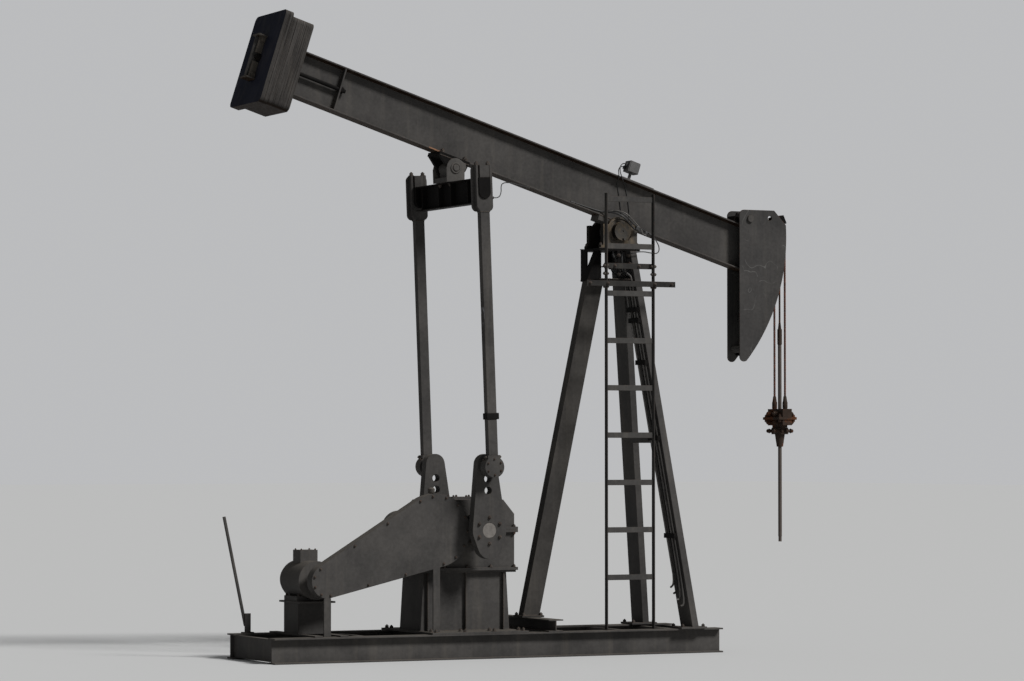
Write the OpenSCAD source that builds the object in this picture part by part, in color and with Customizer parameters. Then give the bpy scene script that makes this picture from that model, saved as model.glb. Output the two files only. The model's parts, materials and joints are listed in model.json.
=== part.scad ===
// Beam pump for an oil well, with plate weights on the tail of the beam.
// +X points at the well, +Z is up, and the origin is on the ground straight below the centre pin.
// The part is drawn at the bottom of the stroke: head down, tail up, cranks up.

/* [Linkage] */
// Height of the centre pin over the ground
pivot_h = 3500; // [3300:10:3700]
// Slope of the beam at the bottom of the stroke, head down
beam_tilt = 17.6; // [16:0.1:19]
// Centre pin to the middle of the hanging wires
head_r = 1626; // [1580:1:1680]
// Centre pin to the tail pin
tail_c = 1585; // [1540:1:1620]
// Travel of the well rod
stroke = 1067; // [900:1:1080]
// Crankshaft behind the centre pin
shaft_back = 1397; // [1370:1:1430]
// Height of the crankshaft
shaft_h = 1033; // [1000:1:1070]

/* [Walking beam] */
// Depth of the beam
beam_d = 372; // [350:1:400]
// Width of the beam's flanges
beam_bf = 136; // [130:1:142]
// Thickness of the beam's flanges at their edges
beam_tf = 11; // [9:1:14]
// Thickness of the beam's web
beam_tw = 10; // [6:1:16]
// Centre pin to the underside of the beam
pin_drop = 90; // [84:1:94]
// Centre pin to the tail end of the beam
beam_tail = 3515; // [3480:1:3560]
// Thickness of the beam's flanges at the web
beam_tr = 20; // [18:1:22]
// Middle of the wires to the head end of the beam
beam_in = 296; // [276:1:346]
// Thickness of the sensor's plate on the beam
sensor_plate_t = 14; // [6:1:18]
// Clear height of the sensor box over its plate
sensor_lift = 58; // [40:1:80]

/* [Weights] */
// Width of a weight plate
weight_w = 524; // [480:1:560]
// Height of a weight plate
weight_h = 746; // [700:1:800]
// Thickness of a weight plate
weight_t = 29; // [24:1:30]
// Plates in the inner stack
weight_n = 7; // [5:1:7]
// Thickness of an end plate
end_weight_t = 34; // [28:1:40]
// Width of an end plate
end_weight_w = 644; // [600:1:660]
// Height of an end plate
end_weight_h = 780; // [750:1:850]
// Beam that stands out past the end plates
beam_out = 73; // [60:1:90]
// Radius of the plates' corners
weight_corner = 45; // [20:1:50]
// Diameter of the tie rods
tie_d = 32; // [24:1:40]
// Length of the tie rods ahead of the stack
tie_reach = 497; // [440:1:540]

/* [Horse head] */
// Width of the head over its side plates
head_w = 216; // [210:1:224]
// Thickness of the head's side plates
head_plate_t = 10; // [8:1:12]
// Thickness of the curved face plate
head_face_t = 14; // [10:1:18]
// Depth of the head, from its back edge to the middle of the wires
head_deep = 455; // [436:1:476]
// Top edge of the head over the centre pin
head_top = 222; // [212:1:230]
// Radius of the head's lower tip
head_tip_r = 41; // [36:1:50]
// Slope at the end of the head's top edge, back from the middle of the wires
head_nose = 115; // [96:1:136]
// Diameter of the head's pin
head_pin_d = 58; // [50:1:62]

/* [Wires and carrier] */
// Diameter of a wire
wire_d = 19; // [16:1:22]
// Spacing of the two wires
wire_gap = 174; // [168:1:176]
// Centre pin to the top of the carrier bar
carrier_drop = 1468; // [1450:1:1490]
// Size of the carrier's lower plate along the beam
carrier_plate_w = 176; // [160:1:190]
// Diameter of the well rod
rod_d = 32; // [28:1:38]
// Height of the well rod's lower end
rod_end_h = 900; // [800:1:1000]

/* [Bearings] */
// Diameter of the centre shaft
shaft_d = 90; // [76:1:96]
// Diameter of the centre bearings' end caps
cap_d = 156; // [150:1:160]
// Running clearance of a shaft in its bore
run = 0.4; // [0.3:0.1:0.5]
// Diameter of the tail pin
tail_pin_d = 60; // [50:1:64]
// Diameter of the crankshaft
crankshaft_d = 120; // [110:1:130]

/* [Equalizer and pitmans] */
// Width of the plate on a pitman's head
stirrup_w = 184; // [176:1:190]
// Width of the slot in a pitman's head
stirrup_in = 102; // [100:1:104]
// Spacing of the pitmans
pitman_gap = 1240; // [1230:1:1260]
// Width of a pitman along the beam
pitman_w = 80; // [70:1:90]
// Thickness of a pitman across the beam
pitman_t = 60; // [50:1:64]
// Width of the equalizer beam's flanges
eq_bf = 102; // [96:1:108]
// Depth of the equalizer beam
eq_d = 203; // [196:1:208]
// Tail pin to the top of the equalizer beam
eq_drop = 112; // [110:1:118]

/* [Cranks and gear reducer] */
// Thickness of a crank
crank_t = 80; // [70:1:84]
// Width of a crank at the hub
crank_hub_w = 300; // [260:1:320]
// Inner faces of the cranks, across
crank_gap = 900; // [890:1:910]
// Diameter of the reducer's pulley
pulley_d = 500; // [440:10:520]
// Width of the gear reducer
reducer_w = 480; // [440:1:500]
// Length of the gear reducer
reducer_l = 900; // [860:1:940]

/* [Post] */
// Width of the post head plate, across
post_w = 344; // [330:1:360]
// Depth of the rear leg, along the beam
rear_leg_w = 150; // [130:1:160]
// Width of the rear leg, across
rear_leg_t = 90; // [80:1:100]
// Rise of the rear leg's slope, as run over rise
rear_slope = 0.216; // [0.20:0.002:0.24]
// Depth of the front legs' channel
front_leg_w = 200; // [180:1:210]
// Flange of the front legs' channel
front_leg_f = 57; // [50:1:65]
// Slope of the front legs forward, as run over rise
front_slope = 0.125; // [0.11:0.001:0.14]
// Slope of the front legs outward, as run over rise
side_slope = 0.115; // [0.10:0.001:0.13]

/* [Base] */
// Depth of the skid rails
rail_d = 203; // [190:1:220]
// Width of the skid rails' flanges
rail_bf = 134; // [120:1:150]
// Spacing of the skid rails
rail_gap = 860; // [840:1:880]
// Base behind the centre pin
base_back = 3250; // [3150:10:3400]
// Base ahead of the centre pin
base_front = 780; // [740:10:900]

/* [Ladder] */
// Width of the ladder over its rails
ladder_w = 450; // [430:1:460]
// Spacing of the rungs
rung_gap = 390; // [370:1:400]
// Height of a rung's flat bar
rung_h = 45; // [38:1:50]
// Ladder to the middle of the beam
ladder_y = 385; // [384:1:400]

/* [Hidden] */
$fn = 64;

paint = [0.13, 0.13, 0.14];
rust = [0.42, 0.24, 0.15];
tan_dust = [0.55, 0.50, 0.44];
bright = [0.62, 0.62, 0.62];
black = [0.05, 0.05, 0.05];
slack = 1;
seat = 0.3;
eps = 1;
big = 9000;

// The linkage, solved from the sizes above
swing = stroke / head_r * 180 / PI;
tail_a0 = 180 - beam_tilt;
tail_a1 = tail_a0 + swing;
tail_x = tail_c * cos(tail_a0);
tail_z = tail_c * sin(tail_a0);
shaft_x = -shaft_back;
shaft_z = shaft_h - pivot_h;
reach_up = norm([tail_x - shaft_x, tail_z - shaft_z]);
reach_down = norm([tail_c * cos(tail_a1) - shaft_x, tail_c * sin(tail_a1) - shaft_z]);
crank_r = (reach_up - reach_down) / 2;
pitman_len = (reach_up + reach_down) / 2;
lean = atan2(shaft_x - tail_x, tail_z - shaft_z);

beam_mid = pin_drop + beam_d / 2;
beam_top = pin_drop + beam_d;
end_face = beam_out - beam_tail;
stack_u = end_face + 2 * end_weight_t + 4;
stack_len = weight_n * (weight_t + slack) - slack;
rib_u = stack_u + stack_len + tie_reach - 60;
tie_y = 40;

// Post, seen from the centre pin: heights under it where the legs are measured
post_t = 21;
post_top = -140;
post_z = post_top - post_t;
post_under = pivot_h + post_z;
house_in = 103;
house_out = 150;
house_w = 320;
house_step = 60;
arch_r = 123;
recess_r = 106;
hub_d = 130;
leg_ref = 430;
head_depth = 410;
front_x0 = 115;
front_y0 = front_leg_w / 2 + 2;
rear_x0 = -260;
foot_t = 16;
sill_d = 100;
front_foot_z = rail_d + seat + foot_t;
rear_foot_z = rail_d + seat + sill_d + seat + foot_t;
front_foot_x = front_x0 + (pivot_h - leg_ref - front_foot_z) * front_slope;
front_foot_y = front_y0 + (pivot_h - leg_ref - front_foot_z) * side_slope;
rear_foot_x = rear_x0 - (pivot_h - leg_ref - rear_foot_z) * rear_slope + rear_leg_w / 2;
brace_drop = 1730;
rail_tf = 12;
rail_tw = 8;
anchor_x = 1200;
anchor_y = rail_gap + 80;
anchor_d = 26;
ladder_x = -37;
ladder_t = 38;
ladder_top = 300;
rung_top = 253;
cross_x = [-base_back + 60, -2350, shaft_x - 380, shaft_x + 380, 0, front_foot_x, base_front - 60];

// Drive
reducer_x = shaft_x - 60;
reducer_z = shaft_h - 330;
input_x = shaft_x - 400;
input_d = 60;
belt_y = reducer_w / 2 + 85;
motor_x = -2750;
motor_y = 30;
motor_h = 640;
motor_low = 165;
motor_shaft_d = 48;
motor_pulley_d = 180;
belt_w = 60;
belt_t = 12;
belt_dx = input_x - motor_x;
belt_dz = shaft_h - motor_h;
belt_dir = atan2(belt_dz, belt_dx);
belt_open = 90 + asin((pulley_d - motor_pulley_d) / 2 / norm([belt_dx, belt_dz]));

// Head and hanging gear
head_back = head_r - head_deep;
beam_head = head_r - beam_in;
plate_r = head_r + 4;
nose_a = 3.5;
chin_a = 39;
fork_a = 24.5;
fork_w = 66;
face_r = head_r - wire_d / 2 - seat;
head_corner = 46;
head_in = head_w - 2 * head_plate_t - 2 * seat;
eq_len = 1090;
lug_r = 66;
stirrup_top = -12;
stirrup_floor = -283;
stirrup_low = -385;
fork_shoulder = -345;
carrier_z = pivot_h - carrier_drop;
carrier_t = 160;
clamp_t = 56;
rod_up = 552;
rod_pin_d = 28;
rod_pin_len = 45;

// Free cable by the post, from the centre pin, and grease hose, from the tail pin along the pitmans
cable_d = 12;
loop_route = [[70, -184, -185], [70, -198, -185], [96, -208, -180], [140, -210, -170], [200, -210, -168],
              [262, -208, -176], [318, -200, -176], [350, -182, -148], [358, -156, -105],
              [342, -132, -58], [316, -118, -24], [297, -108, -7], [297, -90, -7]];
hose_route = [[90, -630, -275], [118, -630, -275], [150, -618, -262], [178, -590, -225], [200, -550, -185],
              [235, -500, -157], [300, -430, -142], [380, -350, -138], [460, -270, -140],
              [540, -200, -146], [610, -150, -152], [655, -120, -156], [678, -105, -156], [678, -90, -156]];
clip_u = [285, -894];

// Shapes used by several parts
// Rolled I section: flanges tf thick at their edges and tr at the web
module i_outline(d, bf, tf, tr, tw) {
    corner = [[bf / 2, d / 2], [bf / 2, d / 2 - tf], [tw / 2, d / 2 - tr]];
    side = concat(corner, [for (i = [2:-1:0]) [corner[i][0], -corner[i][1]]]);
    polygon(concat(side, [for (i = [5:-1:0]) [-side[i][0], side[i][1]]]));
}
module channel_outline(d, f, tf, tw) {
    difference() {
        translate([0, -d / 2]) square([f, d]);
        translate([tw, tf - d / 2]) square([f, d - 2 * tf]);
    }
}
module round_rect(w, h, r) {
    square([w - 2 * r, h], center = true);
    square([w, h - 2 * r], center = true);
    for (x = [-1, 1], y = [-1, 1])
        translate([x * (w / 2 - r), y * (h / 2 - r)]) circle(r);
}
// An outline of (across, up) pushed along +X
module along_x(len) { rotate([90, 0, 90]) linear_extrude(len) children(); }
// An outline of (along, up) made a plate across, centred
module across(t) { rotate([90, 0, 0]) linear_extrude(t, center = true) children(); }
module rod_y(d, len) { rotate([90, 0, 0]) cylinder(d = d, h = len, center = true); }
module rod_x(d, len) { rotate([0, 90, 0]) cylinder(d = d, h = len); }
// Turns Z to the direction (dx, dy, dz) and leaves the section square to the beam
module slant(dx, dy, dz) {
    len = norm([dx, dy, dz]);
    rotate([-asin(dy / len), atan2(dx, dz), 0]) children();
}
module block(size, at) { translate(at) cube(size, center = true); }
// The beam's frame: X along the beam to the head, Z square to it, origin in the centre pin
module on_beam() { translate([0, 0, pivot_h]) rotate([0, beam_tilt, 0]) children(); }
module on_pivot() { translate([0, 0, pivot_h]) children(); }
// The pitmans' frame: origin in the tail pin, Z up the pitmans
module on_tail() { translate([tail_x, 0, pivot_h + tail_z]) children(); }
module on_hang() { on_tail() rotate([0, -lean, 0]) children(); }
module on_shaft() { translate([shaft_x, 0, shaft_h]) children(); }
module on_input() { translate([input_x, 0, shaft_h]) children(); }
// The crank's frame: origin in the crankshaft, Z up the crank
module on_crank() { on_shaft() rotate([0, -lean, 0]) children(); }

// Tube along a smooth curve through the points of a route
function bend(p, i, t) =
    let (a = p[max(i - 1, 0)], b = p[i], c = p[i + 1], d = p[min(i + 2, len(p) - 1)])
    b + t / 2 * (c - a + t * (2 * a - 5 * b + 4 * c - d + t * (3 * b - a - 3 * c + d)));
function smooth(p, n) = [for (i = [0:len(p) - 2], k = [0:n - 1]) bend(p, i, k / n), p[len(p) - 1]];
function unit(v) = v / norm(v);
function heading(p, i) = unit(p[min(i + 1, len(p) - 1)] - p[max(i - 1, 0)]);
function square_to(v, h) = unit(v - (v * h) * h);
module cable(route, d) {
    path = smooth(route, 2);
    n = len(path);
    sides = 8;
    last = len(route) - 1;
    head = [for (i = [0:n - 1]) i == 0 ? unit(route[1] - route[0])
                : i == n - 1 ? unit(route[last] - route[last - 1]) : heading(path, i)];
    side = [for (i = 0, v = square_to([0, 0, 1], head[0]); i < n;
                 i = i + 1, v = square_to(v, head[min(i, n - 1)])) v];
    polyhedron(
        [for (i = [0:n - 1], k = [0:sides - 1]) let (a = k * 360 / sides)
            path[i] + d / 2 * (cos(a) * side[i] + sin(a) * cross(head[i], side[i]))],
        [[for (k = [0:sides - 1]) k],
         for (i = [0:n - 2], k = [0:sides - 1]) let (m = (k + 1) % sides)
            [i * sides + k, (i + 1) * sides + k, (i + 1) * sides + m, i * sides + m],
         [for (k = [sides - 1:-1:0]) (n - 1) * sides + k]]);
}

// Base
module skid_rail(side) {
    color(paint) difference() {
        translate([-base_back, side * rail_gap / 2, rail_d / 2])
            along_x(base_back + base_front) i_outline(rail_d, rail_bf, rail_tf, rail_tf, rail_tw);
        for (x = [-1, 1])
            translate([x * anchor_x / 2, side * anchor_y / 2, -eps])
                cylinder(d = anchor_d, h = rail_tf + 2 * eps);
    }
}
module cross_members() {
    len = rail_gap - rail_tw - 2 * seat;
    d = rail_d - 2 * rail_tf - 2 * seat;
    color(paint) for (x = cross_x)
        translate([x - 30, 0, rail_d / 2]) rotate([90, 0, 0])
            linear_extrude(len, center = true) channel_outline(d, 60, 10, 8);
}
module rear_sill() {
    color(paint) translate([rear_foot_x, 0, rail_d + seat + sill_d / 2]) rotate([0, 0, 90])
        translate([-(rail_gap + rail_bf) / 2, 0, 0])
            along_x(rail_gap + rail_bf) i_outline(sill_d, 130, 10, 10, 8);
}

// Post
module front_leg(side) {
    color(paint) intersection() {
        translate([front_x0, side * front_y0, pivot_h - leg_ref])
            slant(-front_slope, -side * side_slope, 1)
                translate([0, 0, -big / 2]) linear_extrude(big)
                    channel_outline(front_leg_w, front_leg_f, 9, 7);
        translate([-big / 2, side > 0 ? 1 : -big - 1, front_foot_z])
            cube([big, big, post_under - seat - front_foot_z]);
    }
    color(paint) block([240, 210, foot_t], [front_foot_x + 15, side * front_foot_y,
                                            rail_d + seat + foot_t / 2]);
}
module rear_leg() {
    color(paint) intersection() {
        translate([rear_x0, 0, pivot_h - leg_ref]) slant(rear_slope, 0, 1)
            block([rear_leg_w * cos(atan(rear_slope)), rear_leg_t, big], [rear_leg_w / 2, 0, 0]);
        translate([-big / 2, -big / 2, rear_foot_z])
            cube([big, big, pivot_h - head_depth - seat - rear_foot_z]);
    }
    color(paint) block([200, 170, foot_t], [rear_foot_x, 0, rear_foot_z - foot_t / 2]);
}
module leg_braces() {
    x = front_x0 + (brace_drop - leg_ref) * front_slope;
    w = 2 * (front_y0 + (brace_drop - leg_ref) * side_slope);
    color(paint) block([10, w, 60], [x - 5 - 60 * front_slope / 2 - seat, 0, pivot_h - brace_drop]);
}
// Open box of plates on the legs: the top plate, its gussets, the rear knee and the bottom plate
module post_head() {
    low = 12 - head_depth;
    y = post_w / 2 - 6;
    leg_x = front_x0 - seat - 2;
    color(paint) on_pivot() {
        block([380, post_w, post_t], [-15, 0, post_z + post_t / 2]);
        block([160, 170, 60], [0, 0, post_top + 30 - eps]);
        block([12, 106, head_depth + post_z], [-199, post_w / 2 - 54, (post_z - head_depth) / 2]);
        across(rear_leg_t) polygon([[-152, post_z + eps], [-138, post_z + eps],
                                    [-242, low - eps], [-256, low - eps]]);
        for (s = [-1, 1]) {
            translate([0, s * (rear_leg_t / 2 - 6), 0]) across(10)
                polygon([[-150, post_z + eps], [-126, post_z + eps], [-126, low - eps], [-250, low - eps]]);
            translate([0, s * y, 0]) {
                across(12) polygon([[36, post_z + eps],
                                    [leg_x - (post_z + leg_ref) * front_slope, post_z + eps],
                                    [leg_x - (leg_ref - 300) * front_slope, -300], [60, -300]]);
                block([24, 12, head_depth + post_z], [-27, 0, (post_z - head_depth) / 2]);
            }
        }
        block([80, rear_leg_t + 16, 12], [-225, 0, 6 - head_depth]);
        translate([loop_route[0][0], (loop_route[0][1] + seat - post_w / 2) / 2, loop_route[0][2]])
            rod_y(22, -loop_route[0][1] - seat - post_w / 2);
        translate([-205, -post_w / 2, -head_depth])
            cube([205 + leg_x - (low + leg_ref) * front_slope, post_w, 12]);
    }
}
module centre_bearings() {
    for (s = [-1, 1]) centre_bearing(s);
}
module centre_bearing(side) {
    t = house_out - house_in;
    mid = side * (house_in + house_out) / 2;
    base = post_top + seat;
    color(tan_dust) on_pivot() difference() {
        union() {
            difference() {
                translate([0, mid, 0]) across(t) {
                    translate([-house_w / 2, base]) square([house_w, house_step - base]);
                    circle(arch_r);
                }
                translate([0, side * house_out, 0]) across(16) intersection() {
                    circle(recess_r);
                    translate([-recess_r, 4 - cap_d / 2]) square(2 * recess_r);
                }
            }
            translate([0, side * (house_out + 15), 0]) rod_y(cap_d, 70);
            translate([0, mid, base]) block([house_w + 44, t, 24], [0, 0, 12]);
        }
        translate([0, mid, 0]) rod_y(shaft_d + 2 * run, t + 20);
        translate([0, side * (house_out + 50), 0]) rod_y(14, 12);
        translate([0, side * (house_out + 50), -cap_d / 2]) cube([16, 24, 36], center = true);
    }
}

module loop_cable() { color(black) on_pivot() cable(loop_route, cable_d); }

// Ladder
module ladder_rails() {
    len = ladder_top + pivot_h - rail_d - seat;
    color(paint) for (x = [-1, 1])
        block([10, ladder_t, len], [ladder_x + x * (ladder_w / 2 - 5), -ladder_y, rail_d + seat + len / 2]);
}
module ladder_rungs() {
    n = floor((pivot_h + rung_top - rail_d - 150) / rung_gap);
    color(paint) for (i = [0:n])
        block([ladder_w - 20 - 2 * seat, 10, rung_h],
              [ladder_x, -ladder_y, pivot_h + rung_top - i * rung_gap]);
}
module ladder_brackets() {
    y1 = ladder_y - ladder_t / 2 - seat;
    color(paint) on_pivot() {
        block([ladder_w, 10, 45], [ladder_x, 5 - y1, -299]);
        for (x = [-165, 60])
            block([50, y1 - 9 - post_w / 2, 10], [x, -(y1 - 9 + post_w / 2) / 2 - seat, -299]);
        block([827, 10, 46], [ladder_x, -ladder_y - ladder_t / 2 - seat - 5, -447]);
    }
}

// Drive
module gear_pedestal() {
    h = reducer_z - rail_d - 2 * seat;
    color(paint) translate([reducer_x, 0, rail_d + seat]) {
        block([reducer_l - 40, rail_gap + rail_bf, 16], [0, 0, 8]);
        across(reducer_w - 80) polygon([[-400, 8], [400, 8], [370, h - 8], [-370, h - 8]]);
        for (x = [-340, 0, 340]) block([14, reducer_w - 24, h - 8], [x, 0, h / 2]);
        block([reducer_l - 20, reducer_w, 16], [0, 0, h - 8]);
    }
}
module gear_reducer() {
    color(paint) difference() {
        union() {
            translate([reducer_x, 0, 0]) {
                block([reducer_l, reducer_w + 40, 22], [0, 0, shaft_h - 11 - seat]);
                block([reducer_l - 40, reducer_w - 20, shaft_h - reducer_z - 20],
                      [0, 0, (shaft_h + reducer_z) / 2]);
                block([reducer_l, reducer_w + 40, 24], [0, 0, reducer_z + 12]);
            }
            on_shaft() rod_y(260, reducer_w + 60);
            on_input() rod_y(150, reducer_w + 50);
        }
        translate([reducer_x, 0, shaft_h - seat + big / 2]) cube(big, center = true);
        on_shaft() rod_y(crankshaft_d + 2 * run, 2 * reducer_w);
        on_input() rod_y(input_d + 2 * run, 2 * reducer_w);
    }
}
module reducer_cover() {
    color(paint) difference() {
        union() {
            translate([reducer_x, 0, shaft_h + seat]) {
                block([reducer_l, reducer_w + 40, 22], [0, 0, 11]);
                across(reducer_w - 20) polygon([[20 - reducer_l / 2, 0], [reducer_l / 2 - 20, 0],
                    [reducer_l / 2 - 20, 0.14 * reducer_l], [reducer_l / 2 - 120, 0.27 * reducer_l],
                    [180 - reducer_l / 2, 0.27 * reducer_l], [20 - reducer_l / 2, 0.1 * reducer_l]]);
                block([260, 220, 24], [60, 0, 0.27 * reducer_l + 10]);
            }
            on_shaft() rod_y(260, reducer_w + 60);
            on_input() rod_y(150, reducer_w + 50);
        }
        translate([reducer_x, 0, shaft_h + seat - big / 2]) cube(big, center = true);
        on_shaft() rod_y(crankshaft_d + 2 * run, 2 * reducer_w);
        on_input() rod_y(input_d + 2 * run, 2 * reducer_w);
    }
}
module reducer_pulley() {
    color(paint) on_input() {
        translate([0, -belt_y, 0]) difference() {
            rod_y(pulley_d, 80);
            for (a = [45:90:315]) rotate([0, a, 0]) translate([pulley_d / 4, 0, 0]) rod_y(110, 90);
        }
        rod_y(input_d, 2 * belt_y + 90);
    }
}
module brake_drum() {
    color(paint) on_input() translate([0, belt_y, 0]) difference() {
        rod_y(300, 80);
        rod_y(input_d + 2 * seat, 100);
    }
}
module motor() {
    color(paint) translate([motor_x, motor_y, motor_h]) {
        rod_y(310, 380);
        translate([0, 215, 0]) rod_y(270, 60);
        block([290, 260, 40], [0, 0, 20 - motor_low]);
        block([150, 150, 150], [0, 40, motor_low]);
        translate([0, -(belt_y + motor_y) / 2, 0]) rod_y(motor_shaft_d, belt_y + motor_y);
    }
}
module motor_mount() {
    h = motor_h - motor_low - rail_d - 2 * seat;
    color(paint) translate([motor_x, motor_y, rail_d + seat]) {
        for (x = [-110, 110]) block([70, rail_gap + rail_bf - 60, 12], [x, -motor_y, 6]);
        block([280, 290, h - 20], [0, 0, h / 2]);
        block([310, 420, 14], [0, 0, h - 7]);
    }
}
module motor_pulley() {
    color(paint) translate([motor_x, -belt_y, motor_h]) difference() {
        rod_y(motor_pulley_d, 80);
        rod_y(motor_shaft_d + 2 * seat, 100);
    }
}
// Two circles and the band between their outer tangents
module belt_outline(grow) {
    r = [motor_pulley_d / 2 + grow, pulley_d / 2 + grow];
    at = [[motor_x, motor_h], [input_x, shaft_h]];
    for (i = [0, 1]) translate(at[i]) circle(r[i], $fn = 96);
    polygon([for (p = [[0, 1], [1, 1], [1, -1], [0, -1]])
        at[p[0]] + r[p[0]] * [cos(belt_dir + p[1] * belt_open), sin(belt_dir + p[1] * belt_open)]]);
}
module drive_belt() {
    color(black) translate([0, -belt_y, 0]) across(belt_w) difference() {
        belt_outline(belt_t);
        belt_outline(slack);
    }
}
module belt_guard() {
    color(paint) translate([0, -belt_y - 5, 0]) difference() {
        across(100) belt_outline(45);
        translate([0, 4, 0]) across(100) belt_outline(42);
    }
    legs = [[input_x, rail_d + 2 * seat + 16, shaft_h - pulley_d / 2],
            [motor_x, rail_d + seat, motor_h - motor_pulley_d / 2]];
    color(paint) for (p = legs)
        translate([p[0] - 30, -belt_y - 55, p[1]]) cube([60, 12, p[2] - 44 - p[1]]);
}
module brake_lever() {
    color(paint) translate([-base_back + 150, rail_gap / 2, rail_d + seat]) {
        block([90, 60, 10], [0, 0, 5]);
        block([50, 10, 160], [0, 0, 80]);
        rotate([0, -12, 0]) block([18, 26, 900], [0, 5 + seat + 13, 450 + 60]);
    }
}

// Walking beam
module walking_beam() {
    color(paint) on_beam() translate([-beam_tail, 0, beam_mid])
        along_x(beam_tail + beam_head) i_outline(beam_d, beam_bf, beam_tf, beam_tr, beam_tw);
}
module saddle() {
    w = 2 * (house_in - 6);
    color(paint) on_beam() difference() {
        union() {
            block([380, beam_bf, 44], [0, 0, pin_drop - seat - 22]);
            rod_y(hub_d, w);
            block([hub_d, w, pin_drop - 10], [0, 0, pin_drop / 2 - 5]);
        }
        rod_y(shaft_d + 2 * seat, 300);
    }
}
module centre_shaft() { color(bright) on_pivot() rod_y(shaft_d, 2 * (house_out + 6)); }
module tail_bracket() {
    color(paint) on_beam() translate([-tail_c, 0, 0]) difference() {
        union() {
            block([283, 232, 30], [-24, 0, pin_drop - seat - 15]);
            for (s = [-1, 1]) translate([0, s * 99, 0]) across(32) {
                circle(lug_r);
                polygon([[-160, pin_drop - 20], [112, pin_drop - 20], [98, 0], [0.45 * lug_r, -0.8 * lug_r],
                         [-0.9 * lug_r, -0.3 * lug_r], [-160, pin_drop - 30]]);
            }
        }
        rod_y(tail_pin_d + 2 * seat, 400);
    }
}
module tail_pin() { color(bright) on_tail() rod_y(tail_pin_d, 218); }
module weight_outline(w, h) {
    difference() {
        round_rect(w, h, weight_corner);
        i_outline(beam_d + 2 * slack, beam_bf + 2 * slack, beam_tf + 2 * slack,
                  beam_tr + 2 * slack, beam_tw + 2 * slack);
        for (s = [-1, 1]) translate([s * tie_y, 0]) circle(d = tie_d + 2 * slack);
    }
}
module weight_plates() {
    color(paint) on_beam() translate([0, 0, beam_mid]) {
        for (i = [0:weight_n - 1])
            translate([stack_u + i * (weight_t + slack), 0, 0]) along_x(weight_t)
                weight_outline(weight_w, weight_h);
        for (i = [0, 1])
            translate([end_face + i * (end_weight_t + slack), 0, 0]) along_x(end_weight_t)
                weight_outline(end_weight_w, end_weight_h);
    }
}
module tie_rods() {
    color(paint) on_beam() for (s = [-1, 1]) translate([0, s * tie_y, beam_mid]) {
        translate([end_face - 46, 0, 0]) rod_x(tie_d, rib_u + 60 - end_face + 46);
        for (u = [end_face - 26 - seat, rib_u + 12 + seat]) translate([u, 0, 0]) rod_x(56, 26, $fn = 6);
    }
}
module beam_rib() {
    color(paint) on_beam() translate([rib_u, 0, beam_mid]) along_x(12) difference() {
        square([beam_bf - 4, beam_d - 2], center = true);
        i_outline(beam_d, beam_bf, beam_tf + seat, beam_tr + seat, beam_tw + 2 * seat);
        for (s = [-1, 1]) translate([s * tie_y, 0]) circle(d = tie_d + 2 * slack);
    }
}

// Horse head
module head_outline() {
    zt = -sqrt(pow(plate_r - head_tip_r, 2) - pow(head_back + head_tip_r, 2));
    a = atan2(zt, head_back + head_tip_r);
    nose = plate_r * [cos(nose_a), sin(nose_a)];
    translate([head_back + head_tip_r, zt]) circle(head_tip_r);
    difference() {
        intersection() {
            circle(plate_r, $fn = 256);
            polygon([[head_back, head_top], [head_r - head_nose, head_top], nose,
                     big * [cos(nose_a), sin(nose_a)], big * [cos(a), sin(a)],
                     [(plate_r - head_tip_r) * cos(a), (plate_r - head_tip_r) * sin(a)], [head_back, zt]]);
        }
        translate([head_back, head_top]) difference() {
            square(2 * head_corner, center = true);
            translate([head_corner, -head_corner]) circle(head_corner);
            translate([head_corner, -2 * head_corner]) square(2 * head_corner);
            translate([0, -3 * head_corner]) square(2 * head_corner);
        }
    }
}
module head_plate(side) {
    color(paint) on_pivot() translate([0, side * (head_w - head_plate_t) / 2, 0])
        difference() {
            across(head_plate_t) head_outline();
            on_head_pin() rod_y(head_pin_d + 2 * seat, 50);
            translate([head_r - 158, 0, 155]) rod_y(40, 50);
        }
}
module on_head_pin() { translate([head_r - 352, 0, 146]) children(); }
// Rolled face plate, forked at its lower end where the well rod comes up behind it
module head_face() {
    color(paint) on_pivot() difference() {
        across(head_in) intersection() {
            difference() {
                circle(face_r, $fn = 256);
                circle(face_r - head_face_t, $fn = 256);
            }
            polygon([[0, 0], big * [cos(nose_a), sin(nose_a)], big * [cos(chin_a), -sin(chin_a)]]);
        }
        across(fork_w) polygon([[0, 0], big * [cos(fork_a), -sin(fork_a)], big * [0, -1]]);
    }
}
module head_braces() {
    color(paint) on_pivot() {
        for (p = [[401, -960], [326, -700], [206, -440]])
            translate([head_r - p[0], 0, p[1]]) rod_y(60, head_in);
        block([60, head_in, 12], [head_r - head_nose - 45, 0, head_top - 30]);
    }
}
module head_pin() {
    color(paint) on_pivot() on_head_pin() {
        rod_y(head_pin_d, head_w + 36);
    }
}
module head_latch() {
    u = head_r - 476;
    color(paint) difference() {
        on_beam() {
            block([210, beam_bf, 14], [u, 0, beam_top + seat + 7]);
            for (s = [-1, 1]) block([100, 16, 100], [u + 15, s * 58, beam_top + seat + 57]);
            for (i = [0:3]) block([9, beam_bf - 10, 38], [u - 98 + i * 20, 0, beam_top + seat + 30]);
        }
        on_pivot() on_head_pin() rod_y(head_pin_d + 2 * seat, 300);
    }
}
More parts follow.
